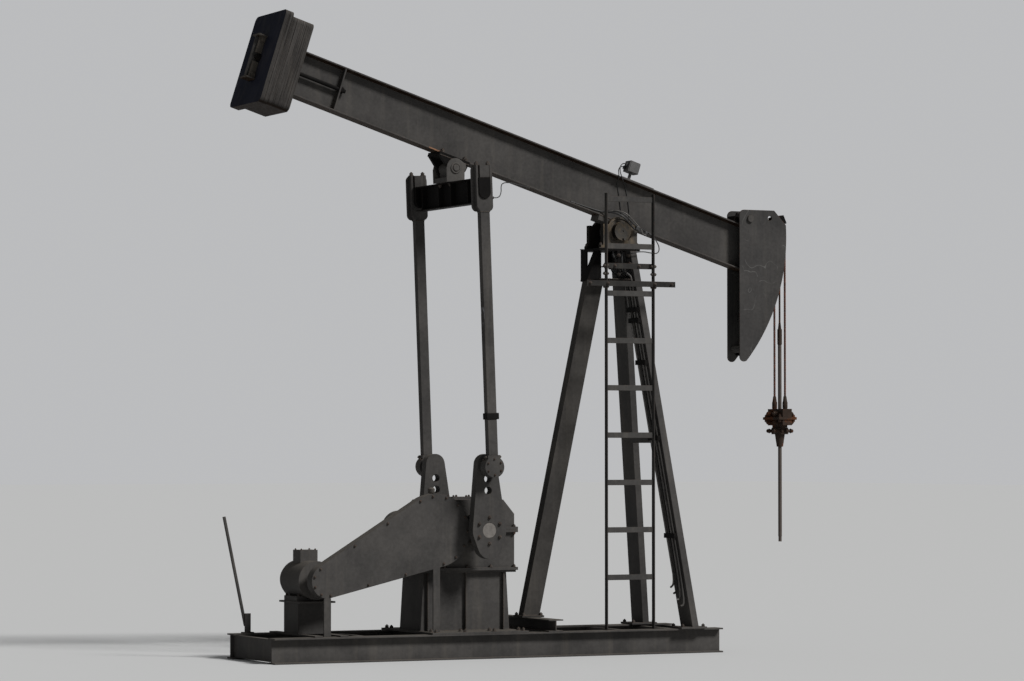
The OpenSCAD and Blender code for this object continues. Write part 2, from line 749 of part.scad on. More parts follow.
// Bar between the side plates that the wires are clamped to
module wire_anchor() {
    color(paint) on_pivot() translate([head_r - 21, 0, head_top - 78]) rotate([0, -24.5, 0])
        block([44, head_in, 75], [0, 0, 0]);
}
module sensor_box() {
    color(paint) on_beam() {
        block([310, 70, sensor_plate_t], [95, 0, beam_top + seat + sensor_plate_t / 2]);
        translate([16, 0, beam_top + seat + sensor_plate_t - 1]) cylinder(d = 26, h = sensor_lift + 2);
        block([100, 90, 90], [16, 0, beam_top + seat + sensor_plate_t + sensor_lift + 45]);
    }
}
module cable_clips() {
    color(paint) on_beam() for (u = clip_u)
        block([30, 30, 16], [u, -75 + seat, pin_drop - seat - 8]);
}

// Equalizer and pitmans
module grease_hose() { color(black) on_hang() cable(hose_route, cable_d); }
module equalizer() {
    r = stirrup_in / 2 - seat;
    over = pitman_gap / 2 + pitman_t / 2 + 12 - eq_len / 2;
    color(paint) on_hang() {
        translate([0, 0, -eq_drop - eq_d / 2]) rotate([0, 0, -90])
            translate([-eq_len / 2, 0, 0]) along_x(eq_len) i_outline(eq_d, eq_bf, 9, 14, 8);
        for (y = [-430, -116, 116, 430])
            block([eq_bf - 8, 8, eq_d - 20], [0, y, -eq_drop - eq_d / 2]);
        for (s = [-1, 1]) translate([0, s * (eq_len / 2 + over / 2 - eps), 0]) across(over) {
            translate([0, stirrup_floor + seat + r]) circle(r);
            translate([-r, stirrup_floor + seat + r])
                square([2 * r, -eq_drop - stirrup_floor - seat - r]);
        }
    }
}
module keeper_blocks() {
    top = stirrup_top - 2;
    color(paint) on_hang() for (s = [-1, 1])
        translate([6, s * pitman_gap / 2 - 11 - seat, (top - eq_drop + seat) / 2])
            cube([84, pitman_t - 22, top + eq_drop - seat], center = true);
}
module tail_bearing() {
    z = -lug_r - 6;
    color(paint) on_hang() difference() {
        union() {
            rod_y(106, 164);
            block([88, 164, eq_drop - seat], [0, 0, -(eq_drop - seat) / 2]);
            block([160, 232, eq_drop - seat + z], [3, 0, (z - eq_drop + seat) / 2]);
        }
        rod_y(tail_pin_d + 2 * run, 400);
    }
}
// A forked head on a bar. The plate on its far face closes the fork over the equalizer's stub.
module pitman(side) {
    len = pitman_len + stirrup_low - 95 - seat;
    r = stirrup_in / 2;
    plate_t = 22;
    color(paint) on_hang() translate([0, side * pitman_gap / 2, 0]) {
        difference() {
            union() {
                across(pitman_t) polygon([[-69, stirrup_top], [69, stirrup_top], [69, fork_shoulder],
                    [pitman_w / 2, stirrup_low - eps], [-pitman_w / 2, stirrup_low - eps],
                    [-69, fork_shoulder]]);
                translate([0, (pitman_t - plate_t) / 2, (stirrup_top + stirrup_low) / 2])
                    across(plate_t) round_rect(stirrup_w, stirrup_top - stirrup_low, 45);
            }
            across(2 * pitman_t) {
                translate([0, stirrup_floor + r]) circle(r);
                translate([-r, stirrup_floor + r]) square([2 * r, -eq_drop + slack - stirrup_floor - r]);
            }
            translate([0, -plate_t, 0]) across(pitman_t)
                translate([-r, stirrup_floor + r]) square([2 * r, 2 * stirrup_w]);
        }
        translate([0, 0, stirrup_low]) block([pitman_w, pitman_t, len], [0, 0, -len / 2]);
        if (side < 0)
            translate([60, hose_route[0][1] + pitman_gap / 2, hose_route[0][2]])
                rod_x(20, hose_route[0][0] - seat - 60);
    }
}
module wrist(side) {
    color(paint) on_hang() translate([0, side * pitman_gap / 2, -pitman_len]) {
        rod_y(170, 90);
        block([110, 80, 95], [0, 0, 95 / 2]);
        translate([0, -side * (45 + 19), 0]) rod_y(70, 40);
    }
}

// Cranks
module crank(side) {
    y = side * (crank_gap + crank_t) / 2;
    color(paint) on_crank() translate([0, y, 0]) difference() {
        across(crank_t) hull() {
            circle(d = crank_hub_w, $fn = 48);
            translate([0, crank_r + 20]) circle(85, $fn = 48);
            translate([0, -120]) circle(110, $fn = 48);
        }
        rod_y(crankshaft_d + 2 * seat, 200);
        for (i = [1, 2]) translate([0, 0, crank_r - i * 95]) rod_y(64, 200);
    }
}
module crankshaft() { color(bright) on_shaft() rod_y(crankshaft_d, crank_gap + 2 * crank_t - 2); }

// Wires and carrier
module wires() {
    color(rust) for (s = [-1, 1])
        translate([head_r, s * wire_gap / 2, carrier_z + seat])
            cylinder(d = wire_d, h = carrier_drop - seat - 2);
}
module carrier_bar() {
    color(rust) translate([head_r, 0, carrier_z]) difference() {
        union() {
            block([90, 250, carrier_t - 20], [0, 0, -(carrier_t - 20) / 2]);
            block([carrier_plate_w, 270, 22], [0, 0, -(carrier_t - 20) / 2 - 11]);
            block([60, 150, 24], [0, 0, 12 - carrier_t]);
        }
        translate([0, 0, -carrier_t - eps]) cylinder(d = rod_d + 2 * slack, h = carrier_t + 2 * eps);
    }
}
module rod_clamp() {
    color(rust) translate([head_r, 0, carrier_z - carrier_t - seat]) difference() {
        union() {
            block([90, 130, clamp_t], [0, 0, -clamp_t / 2]);
            translate([0, 0, -2 * clamp_t - 50]) cylinder(d1 = 54, d2 = 86, h = clamp_t + 50 + eps);
        }
        translate([0, 0, -big / 2]) cylinder(d = rod_d + 2 * seat, h = big);
    }
}
module well_rod() {
    color(bright) translate([head_r, 0, rod_end_h]) {
        cylinder(d = rod_pin_d, h = rod_pin_len + eps);
        translate([0, 0, rod_pin_len]) cylinder(d = rod_d, h = carrier_z + rod_up - rod_end_h - rod_pin_len);
    }
}
module rod_link() {
    color(paint) translate([head_r, 0, carrier_z + rod_up + seat]) {
        cylinder(d = 40, h = 130);
        translate([0, 0, 129]) cylinder(d1 = 30, d2 = 16, h = 63);
        cylinder(d = 16, h = 560);
    }
}

skid_rail(-1);  // skid_rail_near
skid_rail(1);  // skid_rail_far
cross_members();
front_leg(-1);  // front_leg_near
front_leg(1);  // front_leg_far
rear_leg();
rear_sill();
leg_braces();
post_head();
centre_bearings();
loop_cable();
ladder_rails();
ladder_rungs();
ladder_brackets();
gear_pedestal();
gear_reducer();
reducer_cover();
reducer_pulley();
brake_drum();
brake_lever();
motor();
motor_mount();
motor_pulley();
drive_belt();
belt_guard();
walking_beam();
saddle();
centre_shaft();
tail_bracket();
tail_pin();
weight_plates();
tie_rods();
beam_rib();
head_plate(-1);  // head_plate_near
head_plate(1);  // head_plate_far
head_face();
head_braces();
head_pin();
head_latch();
wire_anchor();
sensor_box();
cable_clips();
grease_hose();
equalizer();
tail_bearing();
keeper_blocks();
pitman(-1);  // pitman_near
pitman(1);  // pitman_far
wrist(-1);  // wrist_near
wrist(1);  // wrist_far
crank(-1);  // crank_near
crank(1);  // crank_far
crankshaft();
wires();
carrier_bar();
rod_clamp();
well_rod();
rod_link();
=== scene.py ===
# %% [markdown]
# A beam pumping unit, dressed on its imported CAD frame. The steel pieces come from the frame as they
# are and get finishes here. Bolts, weld beads, ropes, hoses and small fittings are made on top.

# %% The frame
import bpy, bmesh, json, math
from mathutils import Matrix, Vector

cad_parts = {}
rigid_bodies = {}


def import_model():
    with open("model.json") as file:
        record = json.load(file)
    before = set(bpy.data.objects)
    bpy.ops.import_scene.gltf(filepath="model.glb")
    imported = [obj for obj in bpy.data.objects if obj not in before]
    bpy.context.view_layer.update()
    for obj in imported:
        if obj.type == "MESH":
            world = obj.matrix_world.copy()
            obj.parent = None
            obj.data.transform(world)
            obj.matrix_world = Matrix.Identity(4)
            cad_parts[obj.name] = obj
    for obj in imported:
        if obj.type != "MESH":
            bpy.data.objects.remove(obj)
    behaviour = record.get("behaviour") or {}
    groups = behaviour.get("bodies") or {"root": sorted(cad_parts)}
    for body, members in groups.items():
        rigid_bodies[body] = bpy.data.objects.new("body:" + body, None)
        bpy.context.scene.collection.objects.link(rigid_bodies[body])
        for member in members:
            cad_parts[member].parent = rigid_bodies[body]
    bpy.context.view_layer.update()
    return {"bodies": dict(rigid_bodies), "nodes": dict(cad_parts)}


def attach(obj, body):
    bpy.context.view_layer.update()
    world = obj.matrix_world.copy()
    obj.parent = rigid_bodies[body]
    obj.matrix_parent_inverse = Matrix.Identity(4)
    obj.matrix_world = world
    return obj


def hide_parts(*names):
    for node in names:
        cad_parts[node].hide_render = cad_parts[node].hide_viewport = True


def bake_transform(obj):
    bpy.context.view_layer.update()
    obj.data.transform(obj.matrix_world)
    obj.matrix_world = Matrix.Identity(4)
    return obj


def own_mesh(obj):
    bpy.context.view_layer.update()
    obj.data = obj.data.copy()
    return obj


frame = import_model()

# The beam's slope, the centre pin's height, the head's radius, the pitmans' lean and the tail pin
TILT, PIVOT, HEAD_R = math.radians(17.6), 3.5, 1.626
LEAN, TAIL = math.radians(2.2), (-1.5108, 3.9793)
BOTH = (-1, 1)


def linked(name, data):
    """A new object in the scene."""
    made = bpy.data.objects.new(name, data)
    bpy.context.scene.collection.objects.link(made)
    return made


# %% [markdown]
# The photograph was taken from far away with a long lens, so the lines hardly converge. A camera
# 30 m off with a 127 mm lens keeps that, and takes in the base that the picture cuts off.

# %% The camera
camera = linked("camera", bpy.data.cameras.new("camera"))
bpy.context.scene.camera = camera
camera.location = (-14.131, -26.576, 1.664)
heading, rise = math.radians(28 - 1.59), math.radians(1.774)
aim = Vector((math.sin(heading) * math.cos(rise), math.cos(heading) * math.cos(rise), math.sin(rise)))
camera.rotation_mode = "QUATERNION"
camera.rotation_quaternion = aim.to_track_quat("-Z", "Y")
camera.data.lens, camera.data.clip_end = 126.56, 400
print("camera looks along", [round(v, 3) for v in aim])

# %% [markdown]
# The walking beam slopes and the pitmans lean, so small functions turn a place measured along the
# beam, down from the tail pin or round the centre pin into the shared frame.

# %% Places on the beam, on the pitmans and round the centre pin
def as_is(x, y, z):
    return Vector((x, y, z))


def on_beam(u, v, w):
    return as_is(u * math.cos(TILT) + w * math.sin(TILT), v,
                 PIVOT - u * math.sin(TILT) + w * math.cos(TILT))


def on_hang(x, y, z):
    return as_is(TAIL[0] + x * math.cos(LEAN) - z * math.sin(LEAN), y,
                 TAIL[1] + x * math.sin(LEAN) + z * math.cos(LEAN))


def on_pivot(x, y, z):
    return as_is(x, y, PIVOT + z)


def turn_of(place):
    """The turning part of one of the places above, as a matrix."""
    zero = place(0, 0, 0)
    return Matrix([place(*row) - zero for row in ((1, 0, 0), (0, 1, 0), (0, 0, 1))]).transposed()


def circle(count, radius, start=0.0):
    """Points evenly round a circle, the first at `start` degrees."""
    angles = [math.radians(start + 360 * k / count) for k in range(count)]
    return [(radius * math.cos(a), radius * math.sin(a)) for a in angles]


print("tail end of the beam at", [round(v, 3) for v in on_beam(-3.515, 0, 0.276)])

# %% [markdown]
# Geometry Nodes make what follows a path or repeats, and shader nodes make the finishes. `put` adds a
# node, `join` links sockets, and `fed` adds a node whose inputs are numbers, colours or other nodes.

# %% Helpers for node trees
def put(tree, kind, values=None, **settings):
    node = tree.nodes.new(kind)
    for key, value in settings.items():
        setattr(node, key, value)
    for key, value in (values or {}).items():
        node.inputs[key].default_value = value
    return node


def join(tree, *pairs):
    for a, b in pairs:
        tree.links.new(a, b)


def feed(tree, value, socket):
    if isinstance(value, bpy.types.NodeSocket):
        tree.links.new(value, socket)
    elif socket.type == "RGBA":
        socket.default_value = (*value, 1)
    else:
        socket.default_value = value


def fed(tree, kind, values, **settings):
    """The first output of a new node that is fed these values."""
    node = put(tree, kind, **settings)
    for key, value in values.items():
        feed(tree, value, node.inputs[key])
    return node.outputs[0]


print("helpers for node trees are ready")

# %% [markdown]
# A geometry tree has named inputs, and ends by making its instances real and giving them a material.
# `grow` gives a tree a plain mesh of points or edges to work on, keeps the result as a mesh of its
# own, and throws the seed away.

# %% Geometry trees and what they grow
def geometry_tree(name, **sockets):
    tree = bpy.data.node_groups.new(name, "GeometryNodeTree")
    tree.interface.new_socket("Geometry", in_out="INPUT", socket_type="NodeSocketGeometry")
    tree.interface.new_socket("Geometry", in_out="OUTPUT", socket_type="NodeSocketGeometry")
    for key, value in sockets.items():
        kind = {float: "NodeSocketFloat", int: "NodeSocketInt"}.get(type(value), "NodeSocketMaterial")
        socket = tree.interface.new_socket(key, in_out="INPUT", socket_type=kind)
        if value is not None:
            socket.default_value = value
    return tree, put(tree, "NodeGroupInput").outputs, put(tree, "NodeGroupOutput").inputs


def finish_tree(tree, given, out, last):
    real = fed(tree, "GeometryNodeRealizeInstances", {0: last})
    feed(tree, fed(tree, "GeometryNodeSetMaterial", {0: real, "Material": given["Material"]}), out[0])
    return tree


def grow(name, tree, verts, edges=(), attributes=None, **values):
    mesh = bpy.data.meshes.new(name + "_seed")
    mesh.from_pydata([tuple(v) for v in verts], list(edges), [])
    for key, data in (attributes or {}).items():
        vector = hasattr(data[0], "__len__")
        layer = mesh.attributes.new(key, "FLOAT_VECTOR" if vector else "FLOAT", "POINT")
        flat = [c for d in data for c in d] if vector else list(data)
        layer.data.foreach_set("vector" if vector else "value", flat)
    seed = linked(name + "_seed", mesh)
    modifier = seed.modifiers.new("nodes", "NODES")
    modifier.node_group = tree
    for item in tree.interface.items_tree:
        if item.in_out == "INPUT" and item.name in values:
            modifier[item.identifier] = values[item.name]
    bpy.context.view_layer.update()
    done = bpy.data.meshes.new_from_object(seed.evaluated_get(bpy.context.evaluated_depsgraph_get()))
    seed.modifiers.remove(modifier)
    bpy.data.objects.remove(seed)
    print(name, len(done.polygons), "faces")
    return linked(name, done)


print("geometry trees can be grown")

# %% [markdown]
# The finishes mix noises by a few sums, so each kind of node that they use gets a short name.

# %% Helpers for shader trees
def split(tree, vector):
    node = put(tree, "ShaderNodeSeparateXYZ")
    feed(tree, vector, node.inputs[0])
    return node.outputs


def noise(tree, place, scale, detail, rough=0.5, stretch=(1, 1, 1)):
    pulled = fed(tree, "ShaderNodeVectorMath", {0: place, 1: stretch}, operation="MULTIPLY")
    return fed(tree, "ShaderNodeTexNoise", {"Vector": pulled, "Scale": scale, "Detail": detail,
                                            "Roughness": rough})


def mapped(tree, value, low, high, to_low=0.0, to_high=1.0):
    return fed(tree, "ShaderNodeMapRange", {"Value": value, "From Min": low, "From Max": high,
                                            "To Min": to_low, "To Max": to_high})


def worked(tree, how, a, b=0.0):
    """One step of arithmetic. A sum stays between 0 and 1, as masks need."""
    return fed(tree, "ShaderNodeMath", {0: a, 1: b}, operation=how, use_clamp=how == "ADD")


def times(tree, a, b):
    return worked(tree, "MULTIPLY", a, b)


def scaled(tree, vector, factor):
    return fed(tree, "ShaderNodeVectorMath", {0: vector, "Scale": factor}, operation="SCALE")


def shaded(tree, mask, a, b):
    """Colour a, or b where the mask is 1."""
    face = put(tree, "ShaderNodeMix", data_type="RGBA")
    for key, value in (("Factor", mask), ("A", a), ("B", b)):
        feed(tree, value, face.inputs[key])
    return face.outputs["Result"]


print("helpers for shader trees are ready")

# %% [markdown]
# Old oilfield paint is never one colour. It has faded in clouds, rain has drawn streaks of dust down
# it, dust lies on everything that faces up, and rust comes through at edges and in blotches. All the
# steel shares that, so it is one shader group with named inputs, and each finish sets its amounts.

# %% The weathering group
def weathering():
    tree = bpy.data.node_groups.new("weathering", "ShaderNodeTree")
    for key, kind, value in (
            ("Paint", "Color", (0.05, 0.05, 0.05, 1)), ("Dust", "Color", (0.2, 0.17, 0.13, 1)),
            ("Rust", "Color", (0.12, 0.045, 0.02, 1)), ("Dustiness", "Float", 0.4),
            ("Rustiness", "Float", 0.2), ("Wear", "Float", 0.4), ("Size", "Float", 1.0)):
        socket = tree.interface.new_socket(key, in_out="INPUT", socket_type="NodeSocket" + kind)
        socket.default_value = value
    for key, kind in (("Color", "Color"), ("Roughness", "Float"), ("Normal", "Vector")):
        tree.interface.new_socket(key, in_out="OUTPUT", socket_type="NodeSocket" + kind)
    given, out = put(tree, "NodeGroupInput").outputs, put(tree, "NodeGroupOutput").inputs
    place = put(tree, "ShaderNodeTexCoord").outputs
    spot = scaled(tree, place["Object"], given["Size"])
    clouds, fine = noise(tree, spot, 2.1, 7, 0.62), noise(tree, spot, 38, 4, 0.6)
    speck, blotch = noise(tree, spot, 160, 2), noise(tree, spot, 5.5, 11, 0.74)
    streaks = noise(tree, spot, 1.0, 6, 0.6, (13, 13, 0.7))

    shade = times(tree, mapped(tree, clouds, 0.3, 0.7, 0.78, 1.22),
                  mapped(tree, fine, 0.3, 0.7, 0.88, 1.12))
    upward = mapped(tree, split(tree, place["Normal"])["Z"], 0.25, 0.95)
    lying = times(tree, upward, mapped(tree, fine, 0.32, 0.55, 0.45, 1.0))
    lines = times(tree, mapped(tree, streaks, 0.52, 0.74), 0.45)
    film = times(tree, mapped(tree, clouds, 0.42, 0.72), 0.22)
    dust = times(tree, worked(tree, "ADD", lying, worked(tree, "ADD", lines, film)), given["Dustiness"])
    dusty = shaded(tree, dust, scaled(tree, given["Paint"], shade), given["Dust"])

    soft = put(tree, "ShaderNodeBevel", {"Radius": 0.004}, samples=4).outputs[0]
    match = put(tree, "ShaderNodeVectorMath", operation="DOT_PRODUCT")
    join(tree, (soft, match.inputs[0]),
         (put(tree, "ShaderNodeNewGeometry").outputs["Normal"], match.inputs[1]))
    edge = times(tree, mapped(tree, match.outputs["Value"], 0.985, 0.86), mapped(tree, fine, 0.42, 0.56))
    level = worked(tree, "SUBTRACT", 0.78, times(tree, given["Rustiness"], 0.42))
    ragged = worked(tree, "ADD", blotch, times(tree, worked(tree, "SUBTRACT", fine, 0.5), 0.25))
    patches = fed(tree, "ShaderNodeMapRange", {"Value": ragged, "From Min": level,
                                               "From Max": worked(tree, "ADD", level, 0.07)},
                  interpolation_type="SMOOTHSTEP")
    rusted = worked(tree, "ADD", patches, times(tree, edge, given["Wear"]))
    ruddy = scaled(tree, given["Rust"], mapped(tree, speck, 0.3, 0.7, 0.6, 1.4))

    cover = times(tree, worked(tree, "ADD", dust, rusted), 0.32)
    height = worked(tree, "ADD", times(tree, patches, times(tree, speck, 0.8)), times(tree, fine, 0.25))
    bump = fed(tree, "ShaderNodeBump", {"Strength": 0.45, "Distance": 0.003, "Height": height,
                                        "Normal": soft})
    join(tree, (shaded(tree, rusted, dusty, ruddy), out["Color"]), (bump, out["Normal"]),
         (worked(tree, "ADD", mapped(tree, fine, 0.3, 0.7, 0.44, 0.58), cover), out["Roughness"]))
    return tree


WEATHER = weathering()
print("weathering group:", len(WEATHER.nodes), "nodes")

# %% [markdown]
# A steel finish is the group with its amounts set, joined to the shader. Old paint has next to no
# gloss, so the pale floor doesn't shine on the undersides. Bare metal keeps its gloss.

# %% The steel finishes
def steel(name, paint, dustiness=0.35, rustiness=0.15, wear=0.35, metal=0.0, size=1.0,
          dust=(0.16, 0.14, 0.115), rust=(0.085, 0.036, 0.02), shine=0.02):
    material = bpy.data.materials.new(name)
    material.use_nodes = True
    tree = material.node_tree
    surface = tree.nodes["Principled BSDF"].inputs
    surface["Metallic"].default_value = metal
    surface["Specular IOR Level"].default_value = 0.5 if metal else shine
    group = put(tree, "ShaderNodeGroup", node_tree=WEATHER)
    for key, value in (("Paint", paint), ("Dust", dust), ("Rust", rust), ("Dustiness", dustiness),
                       ("Rustiness", rustiness), ("Wear", wear), ("Size", size)):
        feed(tree, value, group.inputs[key])
    join(tree, (group.outputs["Color"], surface["Base Color"]),
         (group.outputs["Roughness"], surface["Roughness"]), (group.outputs["Normal"], surface["Normal"]))
    material["weather"] = group.name
    return material


PAINT = (0.050, 0.0475, 0.0455)
dark_paint = steel("dark_paint", PAINT)
# Near-black paint for the pieces that sit in shade: its darkness is partly painted shade.
sooty_paint = steel("sooty_paint", (0.0085, 0.008, 0.0078), dustiness=0.05, rustiness=0.08, wear=0.2,
                    shine=0.01)
leg_paint = steel("leg_paint", (0.040, 0.0375, 0.035), dustiness=0.3)
bar_paint = steel("bar_paint", (0.050, 0.048, 0.046), dustiness=0.4, rustiness=0.2, wear=0.6)
bracket_paint = steel("bracket_paint", (0.026, 0.025, 0.024), dustiness=0.2, rustiness=0.1, wear=0.6)
rod_steel = steel("rod_steel", (0.050, 0.037, 0.029), dustiness=0.1, rustiness=0.3, wear=0.2, shine=0.5)
bare_steel = steel("bare_steel", (0.20, 0.185, 0.17), dustiness=0.3, rustiness=0.3, metal=0.85,
                   dust=(0.12, 0.10, 0.08))
rusty_steel = steel("rusty_steel", (0.034, 0.024, 0.019), dustiness=0.25, rustiness=0.62, wear=0.7)
bolt_steel = steel("bolt_steel", (0.052, 0.048, 0.044), dustiness=0.45, rustiness=0.4, wear=0.8, size=3.0)
sensor_grey = steel("sensor_grey", (0.085, 0.085, 0.084), dustiness=0.5, rustiness=0.02, size=2.0)
print("steel finishes:", [m.name for m in bpy.data.materials if "weather" in m])

# %% [markdown]
# A few finishes need a pattern of their own on top of the weathering. The weight plates were flame
# cut, so their edges carry fine lines along the cut, and the last plate's face gets painted blue-black
# shade. Both get painted brown shade on their undersides. A stretch of the beam's lower flange edge is
# light rust-orange: rust where water hangs before it drops, and a painted highlight of the edge.

# %% Finishes that follow the beam's slope
def weather_of(material):
    """The tree of a steel finish and the inputs of its weathering."""
    tree = material.node_tree
    return tree, tree.nodes[material["weather"]].inputs


def along_beam(tree):
    """Object coordinates turned to the beam, X along it and Z square to it, and how a face looks."""
    place = put(tree, "ShaderNodeTexCoord").outputs
    moved = fed(tree, "ShaderNodeVectorMath", {0: place["Object"], 1: (0, 0, -PIVOT)}, operation="ADD")
    turned = fed(tree, "ShaderNodeVectorRotate", {"Vector": moved, "Angle": -TILT},
                 rotation_type="Y_AXIS")
    return turned, split(tree, place["Normal"])


def beam_finish():
    """Rust and a painted highlight on part of the lower flange's edge, and painted brown shade below."""
    # The light rust colour also serves as a painted highlight on the flange's edge.
    material = steel("beam_paint", PAINT, dustiness=0.3, wear=0.3, rust=(0.21, 0.115, 0.07))
    tree, weather = weather_of(material)
    turned, facing = along_beam(tree)
    spot = split(tree, turned)
    # A stretch of the lower flange's edge turns light rust-orange: partly rust, partly a painted highlight.
    rusty = mapped(tree, spot["Z"], 0.105, 0.102, 0.0, 0.9)
    for source, low, high in ((spot["X"], -1.88, -1.82), (spot["X"], -1.68, -1.72),
                              (facing["Z"], -0.6, -0.3)):
        rusty = times(tree, rusty, mapped(tree, source, low, high))
    # Downward faces are darkened to brown: painted shade.
    painted_shade_underside = mapped(tree, facing["Z"], -0.5, -0.8)
    feed(tree, worked(tree, "ADD", rusty, 0.03), weather["Rustiness"])
    feed(tree, shaded(tree, painted_shade_underside, PAINT, (0.020, 0.0125, 0.0085)), weather["Paint"])
    return material


def weight_finish():
    """Fine lines along the cut edges, painted blue-black shade on the end face and painted brown shade
    below.
    """
    material = steel("weight_steel", (0.03, 0.028, 0.026), dustiness=0.22, rustiness=0.12, wear=0.3)
    tree, weather = weather_of(material)
    turned, facing = along_beam(tree)
    lines = noise(tree, turned, 1.0, 5, 0.65, (380, 1.6, 1.6))
    edge = scaled(tree, (0.029, 0.027, 0.0255), mapped(tree, lines, 0.38, 0.64, 0.25, 2.2))
    # Downward faces are darkened to brown: painted shade.
    sides = shaded(tree, mapped(tree, facing["Z"], -0.5, -0.8), edge, (0.014, 0.0095, 0.007))
    # The end face, which faces away from the sun, is painted blue-black shade.
    painted_shade_end_face = mapped(tree, facing["X"], -0.6, -0.85)
    feed(tree, shaded(tree, painted_shade_end_face, sides, (0.0085, 0.0105, 0.020)), weather["Paint"])
    return material


beam_paint, weight_steel = beam_finish(), weight_finish()
print("along the beam:", beam_paint.name, weight_steel.name)

# %% [markdown]
# Three more pieces carry marks of their own: the near pitman a pale scuff, the head's side plates thin
# scratches, and the centre bearings tan dust in front and, behind, near black of oil and painted shade.

# %% Finishes of the pitman, the head and the bearings
def pitman_finish():
    """Dark paint, with the pale scuff that shows on the back of the near pitman."""
    material = steel("pitman_paint", PAINT)
    tree, weather = weather_of(material)
    place = put(tree, "ShaderNodeTexCoord").outputs
    height, facing = split(tree, place["Object"])["Z"], split(tree, place["Normal"])["X"]
    mask = mapped(tree, noise(tree, place["Object"], 1.0, 3, 0.6, (60, 26, 7)), 0.50, 0.56)
    for source, low, high in ((height, 2.67, 2.70), (height, 2.83, 2.79), (facing, -0.7, -0.9)):
        mask = times(tree, mask, mapped(tree, source, low, high))
    feed(tree, shaded(tree, mask, PAINT, (0.36, 0.36, 0.38)), weather["Paint"])
    return material


def head_finish():
    """Dark paint with thin pale scratches: the contour lines of a slow noise, broken by another."""
    paint = (0.042, 0.0405, 0.0395)
    material = steel("head_paint", paint, dustiness=0.28, rustiness=0.03, wear=0.9,
                     rust=(0.15, 0.062, 0.032))
    tree, weather = weather_of(material)
    place = put(tree, "ShaderNodeTexCoord").outputs["Object"]
    contour = worked(tree, "ABSOLUTE", worked(tree, "SUBTRACT", noise(tree, place, 2.6, 2.5, 0.55), 0.5))
    breaks = mapped(tree, noise(tree, place, 7.0, 3), 0.50, 0.58)
    scratch = times(tree, mapped(tree, contour, 0.0015, 0.0035, 0.6, 0.0), breaks)
    feed(tree, shaded(tree, scratch, paint, (0.115, 0.112, 0.108)), weather["Paint"])
    return material


def bearing_finish():
    """Tan dust on the near housing. The backs, and all of the far one, go near black: oil and painted
    shade.
    """
    material = steel("dusty_bearing", (0.060, 0.055, 0.049), dustiness=0.9, rustiness=0.12, wear=0.4,
                     dust=(0.22, 0.17, 0.115))
    tree, weather = weather_of(material)
    place = put(tree, "ShaderNodeTexCoord").outputs
    across, facing = split(tree, place["Object"])["Y"], split(tree, place["Normal"])["X"]
    grime = mapped(tree, noise(tree, place["Object"], 9.0, 6, 0.65), 0.45, 0.62)
    clean = shaded(tree, grime, (0.058, 0.054, 0.049), (0.105, 0.082, 0.056))
    # Faces turned from the sun, and the whole far housing, go near black: partly oil, partly painted shade.
    oil_and_shade = worked(tree, "MAXIMUM", mapped(tree, across, -0.02, 0.02), mapped(tree, facing, -0.4, -0.8))
    feed(tree, shaded(tree, oil_and_shade, clean, (0.011, 0.010, 0.009)), weather["Paint"])
    feed(tree, mapped(tree, oil_and_shade, 0.0, 1.0, 0.9, 0.1), weather["Dustiness"])
    return material


pitman_paint, head_paint, dusty_bearing = pitman_finish(), head_finish(), bearing_finish()
print("own marks:", pitman_paint.name, head_paint.name, dusty_bearing.name)

# %% [markdown]
# Rubber, hose and rope aren't painted steel, so they have short trees of their own. The wire ropes
# are red-brown with rust, mottled darker by a noise.

# %% Rubber, hose, rope and pipe
def plain_finish(name, color, dark, scale, rough, bump=0.3):
    material = bpy.data.materials.new(name)
    material.use_nodes = True
    tree = material.node_tree
    surface = tree.nodes["Principled BSDF"].inputs
    grain = noise(tree, put(tree, "ShaderNodeTexCoord").outputs["Object"], scale, 6, 0.65)
    relief = fed(tree, "ShaderNodeBump", {"Strength": bump, "Distance": 0.002, "Height": grain})
    join(tree, (shaded(tree, mapped(tree, grain, 0.35, 0.65), dark, color), surface["Base Color"]),
         (mapped(tree, grain, 0.3, 0.7, rough - 0.1, rough + 0.1), surface["Roughness"]),
         (relief, surface["Normal"]))
    return material


belt_rubber = plain_finish("belt_rubber", (0.028, 0.027, 0.026), (0.016, 0.016, 0.016), 30, 0.75)
hose_rubber = plain_finish("hose", (0.026, 0.025, 0.024), (0.012, 0.012, 0.012), 24, 0.6)
rope_steel = plain_finish("rope_steel", (0.115, 0.032, 0.014), (0.022, 0.008, 0.005), 34, 0.7, 0.5)
bright_pipe = plain_finish("bright_pipe", (0.135, 0.125, 0.115), (0.05, 0.045, 0.04), 9, 0.5, 0.2)
print("plain finishes:", belt_rubber.name, hose_rubber.name, rope_steel.name, bright_pipe.name)

# %% [markdown]
# Every piece of the frame gets one of the finishes by its name, and dark paint where none is named.

# %% Finishes for the frame's own pieces
# Pieces that sit in shade, such as the equalizer, take the near-black paint with painted shade.
FINISH = {
    "walking_beam": beam_paint, "weight_plates": weight_steel, "tie_rods": sooty_paint,
    "centre_bearings": dusty_bearing, "sensor_box": sensor_grey, "drive_belt": belt_rubber,
    "head_plate_near": head_paint, "head_plate_far": head_paint, "head_face": sooty_paint,
    "head_latch": sooty_paint, "wire_anchor": sooty_paint, "equalizer": sooty_paint,
    "tail_bracket": sooty_paint, "post_head": sooty_paint, "pitman_near": pitman_paint,
    "rear_leg": leg_paint, "ladder_rails": bracket_paint, "ladder_rungs": bar_paint,
    "ladder_brackets": bracket_paint, "centre_shaft": bare_steel, "tail_pin": bare_steel,
    "crankshaft": bare_steel, "well_rod": rod_steel, "rod_link": rusty_steel, "carrier_bar": rusty_steel,
    "rod_clamp": rusty_steel, "wires": rope_steel, "loop_cable": hose_rubber, "grease_hose": hose_rubber,
    "leg_braces": bar_paint, "rear_sill": bar_paint, "brake_lever": bar_paint}
